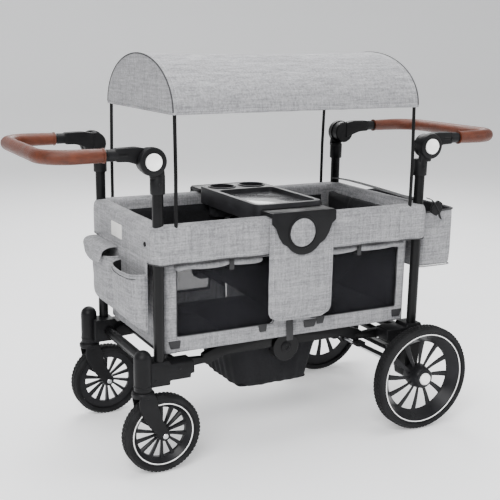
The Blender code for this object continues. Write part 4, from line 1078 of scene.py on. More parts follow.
class WAGON_OT_casters(WagonOperator, bpy.types.Operator):
    """Front casters: forks, bolts, wheels with white rings"""
    bl_idname = "wagon.casters"
    bl_label = "Casters"

    def execute(self, context):
        radius, rim, half = FRONT_AXLE.z, 0.091, 0.020
        crown_low, crown_top = 0.2215, SWIVEL.z - 0.0004
        leg_in, leg_t = 0.0235, 0.0055
        for side_name, side in SIDES.items():
            swivel = (SWIVEL.x, side * SWIVEL.y, 0)
            centre = Vector((FRONT_AXLE.x, side * FRONT_AXLE.y, FRONT_AXLE.z))
            body = f"{side_name}_fork"
            fork = Shape()
            fork.lathe([(0, crown_low), (0.029, crown_low), (0.0305, crown_low + 0.0015),
                        (0.0305, crown_top - 0.004), (0.027, crown_top), (0.008, crown_top),
                        (0.008, 0.298), (0, 0.298)], swivel, "Z", 48)
            leg = [(SWIVEL.x - 0.016, crown_top - 0.003), (SWIVEL.x - 0.022, crown_low - 0.010),
                   (SWIVEL.x - 0.016, crown_low - 0.040), (SWIVEL.x + 0.004, crown_low - 0.074),
                   *arc((FRONT_AXLE.x, FRONT_AXLE.z), 0.0145, 215, 385, 12),
                   (SWIVEL.x + 0.040, crown_low - 0.055), (SWIVEL.x + 0.032, crown_low - 0.020),
                   (SWIVEL.x + 0.024, crown_top - 0.003)]
            for low in (-leg_in - leg_t, leg_in):
                fork.slab(rounded(leg, 0.010, 4), "Y", centre.y + low, centre.y + low + leg_t,
                          0.0020, 3)
            piece(f"fork_moulding_{side_name}", fork, "moulding", body, [f"fork_{side_name}"])
            reach = leg_in + leg_t
            bolt = Shape()
            head = [(0, reach + 0.0004), (0.0075, reach + 0.0004), (0.0075, reach + 0.003),
                    (0.006, reach + 0.0045), (0.0035, reach + 0.0045), (0.003, reach + 0.0025),
                    (0, reach + 0.0025)]
            bolt.lathe(head, centre, "Y", 32, -1).lathe(head, centre, "Y", 6)
            bolt.lathe([(0, -reach - 0.002), (0.004, -reach - 0.002), (0.004, reach + 0.002),
                        (0, reach + 0.002)], centre, "Y", 24)
            piece(f"caster_bolt_{side_name}", bolt, "bright_steel", body,
                  [f"caster_axle_{side_name}"])
            hub = (0.0045, 0.017, -side * 0.0225, side * 0.0225)
            wheel(f"front_wheel_{side_name}", centre, side, radius, rim, half,
                  f"{side_name}_front_wheel", f"front_tyre_{side_name}",
                  f"front_rim_{side_name}", 14, 0.012, hub, 0.0855, 60)
        return {"FINISHED"}


class WAGON_OT_brake(WagonOperator, bpy.types.Operator):
    """Foot brake hung on the rear axle"""
    bl_idname = "wagon.brake"
    bl_label = "Foot brake"

    def execute(self, context):
        x, z = REAR_AXLE.x + 0.045, REAR_AXLE.z + 0.012
        bar = Shape()
        bar.tube([(x, -0.150, z), (x, 0.150, z)], 0.007, 24)
        for side in SIDES.values():
            ear = [*arc((REAR_AXLE.x, REAR_AXLE.z), 0.013, 110, 290, 12), (x, z - 0.008),
                   (x + 0.004, z), (x, z + 0.008)]
            bar.slab(ear, "Y", side * 0.120, side * 0.130, 0.001)
        pad = rounded([(x - 0.004, z + 0.009), (x - 0.004, z - 0.004), (x + 0.055, z - 0.014),
                       (x + 0.058, z - 0.006), (x + 0.012, z + 0.009)], 0.003, 3)
        bar.slab(pad, "Y", -0.045, 0.045, 0.002, 3)
        for y in evenly(-0.032, 0.032, 4):
            bar.tube([(x + 0.014, y, z + 0.0080), (x + 0.052, y, z - 0.0045)], 0.0016, 10)
        piece("brake_bar", bar, "moulding", "brake", ["brake_pedal"])
        return {"FINISHED"}


# ------------------------------------------------------------- handles
class WAGON_OT_handles(WagonOperator, bpy.types.Operator):
    """Handle hinges, buttons, bars and leatherette grips"""
    bl_idname = "wagon.handles"
    bl_label = "Handles"

    def execute(self, context):
        out, mid, inn = 0.246, 0.2262, 0.200
        bar_y, bar_z, bar_r, grip_r = 0.2125, 0.857, 0.0135, 0.0185
        grip_from, tip, corner = 0.545, 0.695, 0.075
        for end_name, end in ENDS.items():
            centre = (end * HINGE.x, 0, HINGE.z)
            body = f"{end_name}_handle"
            for side_name, side in SIDES.items():
                floor = out - 0.0078
                shell = Shape()
                shell.lathe([(0.0222, floor), (0.0222, out - 0.001), (0.0232, out), (0.0325, out),
                             (0.0352, out - 0.0015), (0.036, out - 0.004), (0.036, mid + 0.001),
                             (0.035, mid), (0.018, mid), (0.018, floor)], centre, "Y", 56, side)
                shell.lathe([(0, mid), (0.0185, mid), (0.0185, floor), (0, floor)], centre, "Y",
                            40, side)
                sleeve = [(0, 0.755), (0.0185, 0.755), (0.0195, 0.757), (0.0195, 0.7995),
                          (0.0175, 0.8025), (0, 0.8025)]
                shell.lathe(sleeve, (end * POST_X, side * POST_Y, 0), "Z", 40)
                neck = rounded([(end * 0.393, 0.795), (end * 0.432, 0.795), (end * 0.436, 0.825),
                                (end * 0.396, 0.825)], 0.004, 3)
                shell.slab(neck, "Y", side * mid, side * (floor - 0.0004), 0.0015)
                rivet(shell, end * POST_X, side * (POST_Y + 0.0193), 0.781, side, 0.0042)
                piece(f"{end_name}_hinge_shell_{side_name}", shell, "moulding",
                      END_BODY[end_name], [f"{end_name}_hinge_{side_name}"])
                low, high = out - 0.0045, out + 0.0045
                button = Shape().lathe([(0, low), (0.0208, low), (0.0215, low + 0.0006),
                                        (0.0215, high - 0.0020), (0.0205, high - 0.0006),
                                        (0.0175, high), (0.0160, high - 0.0006), (0, high)],
                                       centre, "Y", 56, side)
                piece(f"{end_name}_button_face_{side_name}", button, "white_plastic",
                      f"{end_name}_button_{side_name}", [f"{end_name}_button_{side_name}"])
            corners = [(end * grip_from, -bar_y, bar_z), (end * tip, -bar_y, bar_z),
                       (end * tip, bar_y, bar_z), (end * grip_from, bar_y, bar_z)]
            line = bent_path(corners, corner, 14)
            bar = Shape()
            knee = end * (HINGE.x + 0.060)
            bar.tube([(knee, -bar_y, bar_z), *line, (knee, bar_y, bar_z)], bar_r, 28)
            arms = Shape()
            for side in SIDES.values():
                arms.lathe([(0, inn), (0.030, inn), (0.033, inn + 0.003), (0.033, mid - 0.0004),
                            (0, mid - 0.0004)], centre, "Y", 56, side)
                arm = rounded([(end * (HINGE.x + 0.004), HINGE.z - 0.019),
                               (end * (HINGE.x + 0.038), HINGE.z - 0.006),
                               (end * 0.486, bar_z - 0.0175), (end * 0.518, bar_z - 0.0165),
                               (end * 0.518, bar_z + 0.0165), (end * 0.486, bar_z + 0.0175),
                               (end * (HINGE.x + 0.034), bar_z + 0.018),
                               (end * (HINGE.x + 0.004), HINGE.z + 0.030)], 0.007, 5)
                arms.slab(arm, "Y", side * (inn - 0.002), side * (mid - 0.001), 0.0045, 4)
                arms.tube([(end * 0.512, side * bar_y, bar_z), (end * 0.538, side * bar_y, bar_z)],
                          0.0152, 28)
            piece(f"{end_name}_bar_tube", bar, "powder_coat", body, [f"{end_name}_handle_bar"])
            piece(f"{end_name}_bar_arms", arms, "moulding", body)
            cover = Shape()
            count = len(line)
            swell = [grip_r * (0.93 if n in (0, count - 1) else 1.0) for n in range(count)]
            cover.tube(line, swell, 40)
            for n in (0, count - 1):
                step = (line[1] - line[0]) if n == 0 else (line[-2] - line[-1])
                start = line[n] - step.normalized() * 0.0005
                cover.tube([start, start + step.normalized() * 0.004], grip_r * 1.03, 40)
            piece(f"{end_name}_grip_cover", cover, "leatherette", body,
                  [f"{end_name}_handle_grip"])
            seam = []
            middle = Vector((end * 0.40, 0, bar_z))
            for point in line[1:-1]:
                inward = middle - point
                inward.z = 0
                seam.append(point + inward.normalized() * grip_r * 0.80
                            - Vector((0, 0, grip_r * 0.62)))
            stitches(f"{end_name}_grip_seam", [seam], body, "brown_thread", 0.0007)
        return {"FINISHED"}


# ------------------------------------------------------------- canopy
def canopy_point(share, turn, sag, grow=0.0):
    """A point of the canopy: share runs from front to rear, turn over the arch."""
    half_x = CANOPY[1].x
    rise = CANOPY[1].z - CANOPY_SPRING
    x = -half_x + 2 * half_x * share
    drop = sag * sin(pi * share) ** 0.8
    y = -(CANOPY[1].y + grow) * cos(turn) * (1 - drop * 0.10 / CANOPY[1].y)
    z = CANOPY_SPRING + (rise + grow - drop * sin(turn)) * sin(turn)
    return Vector((x, y, z))


def canopy_hoop(end):
    inset = 0.0082
    x = end * 0.3655
    wide, rise = CANOPY[1].y - inset, CANOPY[1].z - CANOPY_SPRING - inset
    crown = [(x, -wide * cos(t), CANOPY_SPRING + rise * sin(t)) for t in evenly(0, pi, 40)]
    return [(x, -0.2380, 0.650), (x, -0.2380, 0.80), *crown, (x, 0.2380, 0.80),
            (x, 0.2380, 0.650)]


class WAGON_OT_canopy(WagonOperator, bpy.types.Operator):
    """Canopy cloth with its closed ends, piping and hoops"""
    bl_idname = "wagon.canopy"
    bl_label = "Canopy"

    def execute(self, context):
        sag, thick = sizes().canopy_sag, 0.0016
        along, over, hem = 56, 40, CANOPY[0].z
        rows = []
        for i in range(along + 1):
            share = i / along
            row = []
            near = canopy_point(share, 0, sag)
            dip = 0.0022 * sin(pi * share * 9) * sin(pi * share) ** 2
            row.append(Vector((near.x, near.y, hem + abs(dip) * 0.4)))
            for j in range(over + 1):
                turn = pi * j / over
                point = canopy_point(share, turn, sag)
                pull = sin(pi * share)
                lift = ripple((point.x * 0.6, turn * 0.12, 0), 0.055, 0.0020, 3.1) * pull
                lift += ripple((point.x, turn * 0.03, 1), 0.030, 0.0007, 8.4) * pull
                out = Vector((0, -cos(turn), sin(turn)))
                row.append(point + out * (lift - 0.0008))
            far = canopy_point(share, pi, sag)
            row.append(Vector((far.x, far.y, hem + abs(dip) * 0.4)))
            rows.append(row)
        top = cloth_sheet("canopy_top", rows, "heather", thick, "root", ["canopy"], levels=1,
                          offset=-1.0)
        lengths = [sum((b - a).length for a, b in zip(row, row[1:])) for row in rows]
        parts = [top]
        for end_name, end in ENDS.items():
            share = 0 if end < 0 else 1
            x = end * (CANOPY[1].x - 0.0012)
            rows = []
            levels = 14
            for i in range(levels + 1):
                level = i / levels
                turn = pi / 2 * level
                row = []
                for j in range(25):
                    side = -1 + 2 * j / 24
                    edge = canopy_point(share, turn if side < 0 else pi - turn, 0, -0.0015)
                    y = side * abs(edge.y) if level < 1 else side * 0.02
                    z = edge.z if level < 1 else CANOPY_SPRING + (edge.z - CANOPY_SPRING) * 0.9985
                    if level == 0:
                        z = hem
                    billow = 0.003 * (1 - side * side) * sin(pi * min(1, level * 1.1))
                    row.append(Vector((x - end * billow + ripple((0, y, z), 0.05, 0.0012, 5), y,
                                       z)))
                rows.append(row)
            parts.append(cloth_sheet(f"canopy_end_{end_name}", rows, "heather", 0.0014, "root",
                                     levels=1, offset=0.0))
            piping = Shape()
            line = [canopy_point(share, pi * n / 60, 0, 0.0004) for n in range(61)]
            piping.tube([Vector((x, p.y, p.z)) for p in line], 0.0019, 10)
            parts.append(piece(f"canopy_piping_{end_name}", piping, "black_thread", "root"))
            hoop = Shape().tube(canopy_hoop(end), 0.0048, 20)
            piece(f"canopy_hoops_{end_name}", hoop, "powder_coat",
                  "root" if end > 0 else "front_end", [f"{end_name}_canopy_hoop"])
            lower = Shape()
            lower.tube([(x, -CANOPY[1].y + 0.002, hem + 0.002), (x, CANOPY[1].y - 0.002,
                                                                 hem + 0.002)], 0.0022, 10)
            parts.append(piece(f"canopy_end_hem_{end_name}", lower, "heather", "root"))
            inset = share + (-end) * 0.020
            seam = [canopy_point(inset, pi * n / 80, sag, 0.0006) for n in range(2, 79)]
            parts.append(stitches(f"canopy_seam_{end_name}", [seam], "root"))
        hem_lines = []
        for side in SIDES.values():
            hem_lines.append([(CANOPY[1].x * (-1 + 2 * n / 60),
                               side * (CANOPY[1].y + 0.0004), hem + 0.010) for n in range(61)])
        parts.append(stitches("canopy_hem_stitches", hem_lines, "root"))
        for part in parts:
            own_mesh(part)
        return {"FINISHED"}


# ------------------------------------------------------------- tub
def plan_loop(end, half_y, end_x, from_x, radius, run=6, across=14, corner=8):
    """Plan line from the left side round an end of the wagon to the right side."""
    side = [(from_x + (end_x - radius - from_x) * n / run, -half_y) for n in range(run)]
    bend = arc((end_x - radius, -half_y + radius), radius, -90, 0, corner)
    cross = [(end_x, (-half_y + radius) * (1 - 2 * n / across)) for n in range(1, across)]
    near = side + bend
    far = [(x, -y) for x, y in reversed(near)]
    return [(end * x, y) for x, y in near + cross + far]


def band_section():
    """Height and depth of the padded band: (share inwards, height, puff outwards)."""
    return [(0.0, 0.0, 0.0), (0.0, 0.16, 0.6), (0.0, 0.38, 1.0), (0.0, 0.62, 1.0),
            (0.0, 0.82, 0.6), (0.06, 0.95, 0.2), (0.22, 1.0, 0.0), (0.5, 1.01, 0.0),
            (0.78, 1.0, 0.0), (0.94, 0.95, 0.2), (1.0, 0.80, 0.5), (1.0, 0.50, 0.6),
            (1.0, 0.22, 0.2)]


class WAGON_OT_band(WagonOperator, bpy.types.Operator):
    """Padded cloth band over the top rails and the posts"""
    bl_idname = "wagon.band"
    bl_label = "Band"

    def execute(self, context):
        tall = BAND_TOP - BAND_LOW
        deep = 0.046
        puff = sizes().band_puff
        wrap_to = 0.326
        for end_name, end in ENDS.items():
            outer = plan_loop(end, BAND_Y - 0.0012, BAND_X - 0.0012, wrap_to, 0.030)
            inner = plan_loop(end, BAND_Y - deep, BAND_X - deep, wrap_to, 0.008)
            rows = []
            for n, (a, b) in enumerate(zip(outer, inner)):
                inward = Vector((b[0] - a[0], b[1] - a[1], 0))
                out = -inward.normalized()
                row = []
                for depth, level, swell in band_section():
                    z = BAND_LOW + tall * level
                    base = Vector((a[0], a[1], z)) + inward * depth
                    wave = ripple((a[0], a[1], z), 0.045, 0.0014, 2.2)
                    facing = out if depth < 0.5 else -out
                    lower = 0.0025 * sin(n * 0.7) if level == 0 else 0
                    row.append(base + facing * (puff * swell * 0.55 + wave)
                               + Vector((0, 0, lower * 0.4 + wave * 0.5)))
                rows.append(row)
            cloth_sheet(f"{end_name}_band_corner", rows, "heather", sizes().cloth,
                        END_BODY[end_name], [f"{end_name}_tub"], offset=0.0)
            edge = Shape()
            edge.tube([row[0] - Vector((0, 0, 0.001)) for row in rows], sizes().piping, 10)
            piece(f"{end_name}_band_piping", edge, "black_thread", END_BODY[end_name])
            hem = [row[0].lerp(row[1], 0.55) + (row[0] - row[1]).cross(
                rows[min(n + 1, len(rows) - 1)][0] - rows[max(n - 1, 0)][0]).normalized()
                * -end * 0.0016 for n, row in enumerate(rows)]
            stitches(f"{end_name}_band_hem", [hem], END_BODY[end_name])
            for side_name, side in SIDES.items():
                rows = []
                first, last, count = 0.004, PIVOT_X + 0.040, 30
                for n in range(count + 1):
                    x = first + (last - first) * n / count
                    beyond = max(0.0, x - (PIVOT_X - 0.012))
                    room = sqrt(max(0.0, 1 - (beyond / 0.056) ** 2))
                    row = []
                    for depth, level, swell in band_section():
                        z = BAND_LOW + tall * level
                        z = TOP_PIVOT_Z + (z - TOP_PIVOT_Z) * room
                        y = BAND_Y - 0.0026 - (0.0009 if end < 0 else 0) - depth * (deep - 0.003)
                        wave = ripple((end * x, side, z), 0.05, 0.0016, 1.3)
                        facing = 1 if depth < 0.5 else -1
                        rise = 0.0012 * sin(x * 34) if level == 0 else 0
                        row.append(Vector((end * x, side * (y + facing * (puff * swell * 0.55
                                                                         + wave)), z + rise)))
                    rows.append(row)
                cloth_sheet(f"{end_name}_band_{side_name}", rows, "heather", sizes().cloth,
                            RAIL_BODY[end_name])
                edge = Shape()
                cut = [row[0] - Vector((0, 0, 0.001)) for row in rows
                       if abs(row[0].x) < wrap_to + 0.01]
                edge.tube(cut, sizes().piping, 10)
                piece(f"{end_name}_band_edge_{side_name}", edge, "black_thread",
                      RAIL_BODY[end_name])
                seam = [Vector((p.x, p.y + side * 0.0016, p.z + 0.0085)) for p in cut]
                stitches(f"{end_name}_band_stitches_{side_name}", [seam], RAIL_BODY[end_name])
                self.gusset(end_name, end, side_name, side)
        return {"FINISHED"}

    @staticmethod
    def gusset(end_name, end, side_name, side):
        """Dark lining inside a wall that follows its top rail when the wagon folds."""
        rows = []
        for n in range(13):
            x = 0.010 + (PIVOT_X - 0.030) * n / 12
            drop = 0.25 * (1 - x / PIVOT_X)
            rows.append([(end * x, side * (0.2000 - (0.0012 if end < 0 else 0)),
                          0.640 - (0.030 + drop) * k / 8) for k in range(9)])
        cloth_sheet(f"{end_name}_gusset_{side_name}", rows, "lining", 0.0008,
                    RAIL_BODY[end_name], levels=0)


class WAGON_OT_walls(WagonOperator, bpy.types.Operator):
    """Cloth walls with net windows, tabs, rolled curtains and their ties"""
    bl_idname = "wagon.walls"
    bl_label = "Walls"

    def execute(self, context):
        for end_name, end in ENDS.items():
            self.end_wall(end_name, end)
            for side_name, side in SIDES.items():
                self.side_wall(end_name, end, side_name, side)
                self.curtain(end_name, end, side_name, side)
        return {"FINISHED"}

    @staticmethod
    def end_wall(end_name, end):
        loop = plan_loop(end, WALL_Y, WALL_X, 0.352, 0.014, run=3, across=18)
        levels = [TUB_LOW + 0.300 * n / 12 for n in range(13)]
        rows = [[Vector((x, y, z)) + Vector((ripple((x, y, z), 0.06, 0.0012, 4.0),
                                             ripple((y, x, z), 0.06, 0.0008, 6.0), 0))
                 for x, y in loop] for z in levels]
        wall = cloth_sheet(f"{end_name}_end_wall", rows, "heather", 0.0022,
                           lining="lining", turned=end < 0)
        fold_with_end(wall, end_name)
        floor = Shape()
        floor.block((min(end * 0.212, end * 0.380), -WALL_Y + 0.004, TUB_LOW),
                    (max(end * 0.212, end * 0.380), WALL_Y - 0.004, TUB_LOW + 0.003), 0.001)
        under = piece(f"{end_name}_tub_floor", floor, "lining", FLOOR_BODY[end_name])
        flattened(under)

    @staticmethod
    def side_wall(end_name, end, side_name, side):
        xs = [0.004, 0.032, 0.060] + [0.060 + (0.352 - 0.060) * n / 14 for n in range(1, 15)]
        zs = [TUB_LOW + 0.001, TUB_LOW + 0.012, TUB_LOW + 0.030, TUB_LOW + 0.045]
        zs += [zs[-1] + (0.560 - zs[-1]) * n / 8 for n in range(1, 9)] + [0.582, 0.606]
        hole_x, hole_z = (0.060, 0.352), (TUB_LOW + 0.045, 0.560)
        rows = [[Vector((end * x, side * (WALL_Y + ripple((end * x, side, z), 0.05, 0.0016, 7.0)),
                         z)) for x in xs] for z in zs]

        def hole(i, j):
            mid_x, mid_z = (xs[j] + xs[j + 1]) / 2, (zs[i] + zs[i + 1]) / 2
            return hole_x[0] < mid_x < hole_x[1] and hole_z[0] < mid_z < hole_z[1]

        wall = cloth_sheet(f"{end_name}_wall_{side_name}", rows, "heather", 0.0022,
                           holes=hole)
        fold_with_end(wall, end_name)
        net_rows = [[(end * (hole_x[0] - 0.004 + (hole_x[1] - hole_x[0] + 0.010) * n / 12),
                      side * (WALL_Y - 0.0030 - 0.002 * sin(pi * n / 12) * sin(pi * k / 8)),
                      hole_z[0] - 0.005 + (hole_z[1] - hole_z[0] + 0.010) * k / 8)
                     for n in range(13)] for k in range(9)]
        net = cloth_sheet(f"{end_name}_window_{side_name}", net_rows, "window_net", 0.0006,
                          levels=0)
        fold_with_end(net, end_name)
        frame_line = Shape()
        y = side * (WALL_Y + 0.0016)
        outline = [(end * hole_x[0], hole_z[1]), (end * hole_x[0], hole_z[0]),
                   (end * hole_x[1], hole_z[0]), (end * hole_x[1], hole_z[1])]
        soft = rounded(outline, 0.006, 3)
        frame_line.tube([Vector((a, y, b)) for a, b in soft[2:-2]], 0.0013, 8)
        fold_with_end(piece(f"{end_name}_window_piping_{side_name}", frame_line, "black_thread"),
                      end_name)
        seam_y = side * (WALL_Y + 0.0022)
        seams = [[(end * (0.004 + 0.372 * n / 40), seam_y, z) for n in range(41)]
                 for z in (TUB_LOW + 0.006, TUB_LOW + 0.036)]
        fold_with_end(stitches(f"{end_name}_wall_seams_{side_name}", seams, None), end_name)
        tabs = Shape()
        for x, z, wide in ((0.359, 0.346, 0.036), (0.094, 0.358, 0.028), (0.060, 0.352, 0.044)):
            if wide == 0.044 and end < 0:
                continue
            tab = rounded([(end * (x - wide / 2), z + 0.010), (end * (x + wide / 2), z + 0.010),
                           (end * (x + wide * 0.32), z - 0.012),
                           (end * (x - wide * 0.42), z - 0.012)], 0.003, 3)
            tabs.slab(tab, "Y", side * (WALL_Y + 0.0006), side * (WALL_Y + 0.0030), 0.0006)
        fold_with_end(piece(f"{end_name}_tabs_{side_name}", tabs, "webbing"), end_name)

    @staticmethod
    def curtain(end_name, end, side_name, side):
        """Curtain rolled up under the band, held by a tie."""
        roll = Shape()
        tie_x = 0.202
        points, radii = [], []
        for n in range(29):
            x = 0.104 + (0.362 - 0.104) * n / 28
            pinch = 1 - 0.34 * max(0.0, 1 - abs(x - tie_x) / 0.012)
            sag = 0.004 * abs(sin(pi * (x - tie_x) / 0.12))
            points.append((end * x, side * (WALL_Y + 0.0115), 0.5615 - sag))
            radii.append(0.0112 * pinch * (1 + ripple((x * end, side, 0), 0.02, 0.10, 9.0)))
        radii[0] *= 0.75
        radii[-1] *= 0.75
        roll.tube(points, radii, 18, flat=0.9)
        made = piece(f"{end_name}_curtain_{side_name}", roll, "heather")
        soft = made.modifiers.new("smooth", "SUBSURF")
        soft.levels = soft.render_levels = 1
        fold_with_end(made, end_name)
        tie = Shape()
        ring = [(end * tie_x, side * (WALL_Y + 0.0115) + side * 0.0135 * cos(t),
                 0.5595 + 0.0135 * sin(t)) for t in [2 * pi * n / 20 for n in range(19)]]
        tie.tube(ring, 0.0062, 12, flat=0.16)
        tie.block((end * tie_x - 0.007, min(side * (WALL_Y + 0.022), side * (WALL_Y + 0.0245)),
                   0.540), (end * tie_x + 0.007, max(side * (WALL_Y + 0.022),
                                                    side * (WALL_Y + 0.0245)), 0.578), 0.0006)
        fold_with_end(piece(f"{end_name}_tie_{side_name}", tie, "webbing"), end_name)


# ------------------------------------------------------------- seats and foot well
def swollen(name, mesh, voxel, shrink, cap, frames=20):
    """Cloth pressure swells a mesh; each point moves at most cap."""
    obj = bpy.data.objects.new(name, mesh)
    bpy.context.scene.collection.objects.link(obj)
    remesh = obj.modifiers.new("remesh", "REMESH")
    remesh.mode = "VOXEL"
    remesh.voxel_size = voxel
    graph = bpy.context.evaluated_depsgraph_get()
    even = bpy.data.meshes.new_from_object(obj.evaluated_get(graph))
    obj.modifiers.clear()
    obj.data = even
    start = [v.co.copy() for v in even.vertices]
    cloth = obj.modifiers.new("cloth", "CLOTH")
    cloth.settings.use_pressure = True
    cloth.settings.uniform_pressure_force = sizes().pressure
    cloth.settings.effector_weights.gravity = 0
    cloth.settings.quality = 4
    cloth.settings.shrink_min = shrink
    cloth.point_cache.frame_start = 1
    cloth.point_cache.frame_end = frames
    scene = bpy.context.scene
    for number in range(1, frames + 1):
        scene.frame_set(number)
    graph = bpy.context.evaluated_depsgraph_get()
    puffed = bpy.data.meshes.new_from_object(obj.evaluated_get(graph))
    for before, vertex in zip(start, puffed.vertices):
        move = vertex.co - before
        if move.length > cap:
            vertex.co = before + move.normalized() * cap
    scene.frame_set(1)
    obj.modifiers.clear()
    mesh = puffed
    bpy.data.objects.remove(obj)
    mesh.materials.clear()
    mesh.shade_smooth()
    return mesh


def quilt(mesh, axis, seams, depth, width):
    """Presses sewn channels into a pad along the given places of one axis."""
    mesh.calc_loop_triangles()
    normals = [v.normal.copy() for v in mesh.vertices]
    for vertex, normal in zip(mesh.vertices, normals):
        near = min(abs(vertex.co[axis] - place) for place in seams)
        vertex.co -= normal * depth * max(0.0, 1 - near / width) ** 2
    return mesh


class WAGON_OT_seats(WagonOperator, bpy.types.Operator):
    """Seat pads and back pads, swollen by a cloth simulation"""
    bl_idname = "wagon.seats"
    bl_label = "Seats"

    def execute(self, context):
        for end_name in ENDS:
            low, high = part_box(f"{end_name}_seat_pad")
            inset = 0.006
            seat = Shape().block((low.x + inset, low.y + inset, low.z + 0.004),
                                 (high.x - inset, high.y - inset, high.z - 0.008), 0.006)
            mesh = swollen(f"{end_name}_seat", seat.mesh("seat"), 0.006, -0.02, 0.010)
            quilt(mesh, 1, [-0.064, 0.064], 0.006, 0.012)
            cushion = piece(f"{end_name}_seat_cushion", mesh, "lining",
                            FLOOR_BODY[end_name], [f"{end_name}_seat_pad"])
            flattened(cushion)
            low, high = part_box(f"{end_name}_back_pad")
            back = Shape().block((low.x + 0.004, low.y + inset, low.z + inset),
                                 (high.x - 0.003, high.y - inset, high.z - inset), 0.005)
            mesh = swollen(f"{end_name}_back", back.mesh("back"), 0.006, -0.02, 0.008)
            quilt(mesh, 1, [-0.064, 0.064], 0.005, 0.012)
            quilt(mesh, 2, [0.44, 0.55], 0.004, 0.010)
            rest = piece(f"{end_name}_back_cushion", mesh, "lining", END_BODY[end_name],
                         [f"{end_name}_back_pad"])
        return {"FINISHED"}


class WAGON_OT_foot_well(WagonOperator, bpy.types.Operator):
    """Sunk black cloth well with pleats"""
    bl_idname = "wagon.foot_well"
    bl_label = "Foot well"

    def execute(self, context):
        low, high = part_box("foot_well")
        rows = []
        around = 96
        for half_x, half_y, z in ((0.209, 0.1995, high.z - 0.002), (0.190, 0.176, high.z + 0.001),
                                  (high.x + 0.004, high.y + 0.004, high.z + 0.001)):
            ledge = []
            for k in range(around):
                t = 2 * pi * k / around
                r = (abs(cos(t)) ** 12 + abs(sin(t)) ** 12) ** (-1 / 12)
                ledge.append(Vector((half_x * cos(t) * r, half_y * sin(t) * r, z)))
            rows.append(ledge)
        for i in range(11):
            level = 1 - i / 10
            z = low.z + 0.003 + (high.z - low.z - 0.003) * level
            half_x = high.x * (0.74 + 0.26 * level)
            half_y = high.y * (0.82 + 0.18 * level)
            row = []
            for k in range(around):
                t = 2 * pi * k / around
                cx, cy = cos(t), sin(t)
                power = 6.0
                r = (abs(cx) ** power + abs(cy) ** power) ** (-1 / power)
                pleat = 1 - (0.020 + 0.020 * (1 - level)) * (0.5 + 0.5 * sin(k * 2 * pi / 4))
                row.append(Vector((half_x * cx * r * pleat, half_y * cy * r * pleat,
                                   z + ripple((cx, cy, level), 0.3, 0.003, 2))))
            rows.append(row)
        for share, z in ((0.90, low.z + 0.001), (0.6, low.z + 0.002), (0.3, low.z + 0.004)):
            rows.append([Vector((p.x * share, p.y * share, z + ripple(p * share, 0.05, 0.002, 3)
                                 + 0.001)) for p in rows[13]])
        bag = cloth_sheet("foot_well_bag", rows, "lining", 0.0020, None, ["foot_well"],
                          loop=True)
        base = Shape()
        flat = rounded([(-0.115, -0.115), (0.115, -0.115), (0.115, 0.115), (-0.115, 0.115)],
                       0.02, 5)
        base.slab(flat, "Z", low.z + 0.0045, low.z + 0.0085, 0.0015)
        board = piece("foot_well_board", base, "lining")
        for part in (bag, board):
            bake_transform(part)
        return {"FINISHED"}


# ------------------------------------------------------------- pockets and bags
class WAGON_OT_side_pockets(WagonOperator, bpy.types.Operator):
    """Padded side pockets with piping, and the strap down to the hub"""
    bl_idname = "wagon.side_pockets"
    bl_label = "Side pockets"

    def execute(self, context):
        low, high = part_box("side_pocket_right")
        half = high.x
        for side_name, side in SIDES.items():
            rows = []
            for i in range(25):
                z = low.z + (0.672 - low.z) * i / 24
                corner = 0.030
                down = max(0.0, corner - (z - low.z))
                reach = half - corner + sqrt(max(0.0, corner ** 2 - down ** 2))
                row = []
                for j in range(25):
                    share = -1 + j / 12
                    x = reach * share
                    puff = 0.0058 * (1 - share ** 4) * min(1.0, (z - low.z) / 0.05) * min(
                        1.0, max(0.0, (0.69 - z) / 0.05))
                    row.append(Vector((x, side * (low.y + 0.0036 + puff
                                                  + ripple((x, side, z), 0.045, 0.0016, 5.5)), z)))
                rows.append(row)
            cloth_sheet(f"pocket_front_{side_name}", rows, "heather", 0.0026, "side_hangers",
                        [f"side_pocket_{side_name}"], offset=0.0)
            back = [[Vector((p.x, side * (low.y + 0.0010), p.z)) for p in row[::4]]
                    for row in rows[::4]]
            cloth_sheet(f"pocket_back_{side_name}", back, "heather", 0.0014, "side_hangers",
                        levels=0)
            edge = [row[0] for row in reversed(rows)] + rows[0][1:-1] + [row[-1] for row in rows]
            piping = Shape().tube([p + Vector((0, side * 0.0006, 0)) for p in edge], 0.0024, 12)
            piece(f"pocket_piping_{side_name}", piping, "heather", "side_hangers")
            seam = []
            for p in edge:
                inner = Vector((p.x * 0.90, p.y, max(p.z, low.z + 0.009)))
                share = min(1.0, abs(inner.x) / half)
                inner.y = side * (low.y + 0.0036 + 0.0058 * (1 - share ** 4)
                                  * min(1.0, (inner.z - low.z) / 0.05) + 0.0018)
                seam.append(inner)
            stitches(f"pocket_stitches_{side_name}", [seam], "side_hangers")
            strap = Shape()
            strap.slab(rounded([(-0.017, HUB.z + 0.030), (0.004, HUB.z + 0.030),
                                (0.000, 0.410), (-0.021, 0.410)], 0.003, 3), "Y",
                       side * (WALL_Y + 0.0030), side * (WALL_Y + 0.0050), 0.0006)
            piece(f"fold_strap_{side_name}", strap, "webbing", "side_hangers")
        return {"FINISHED"}


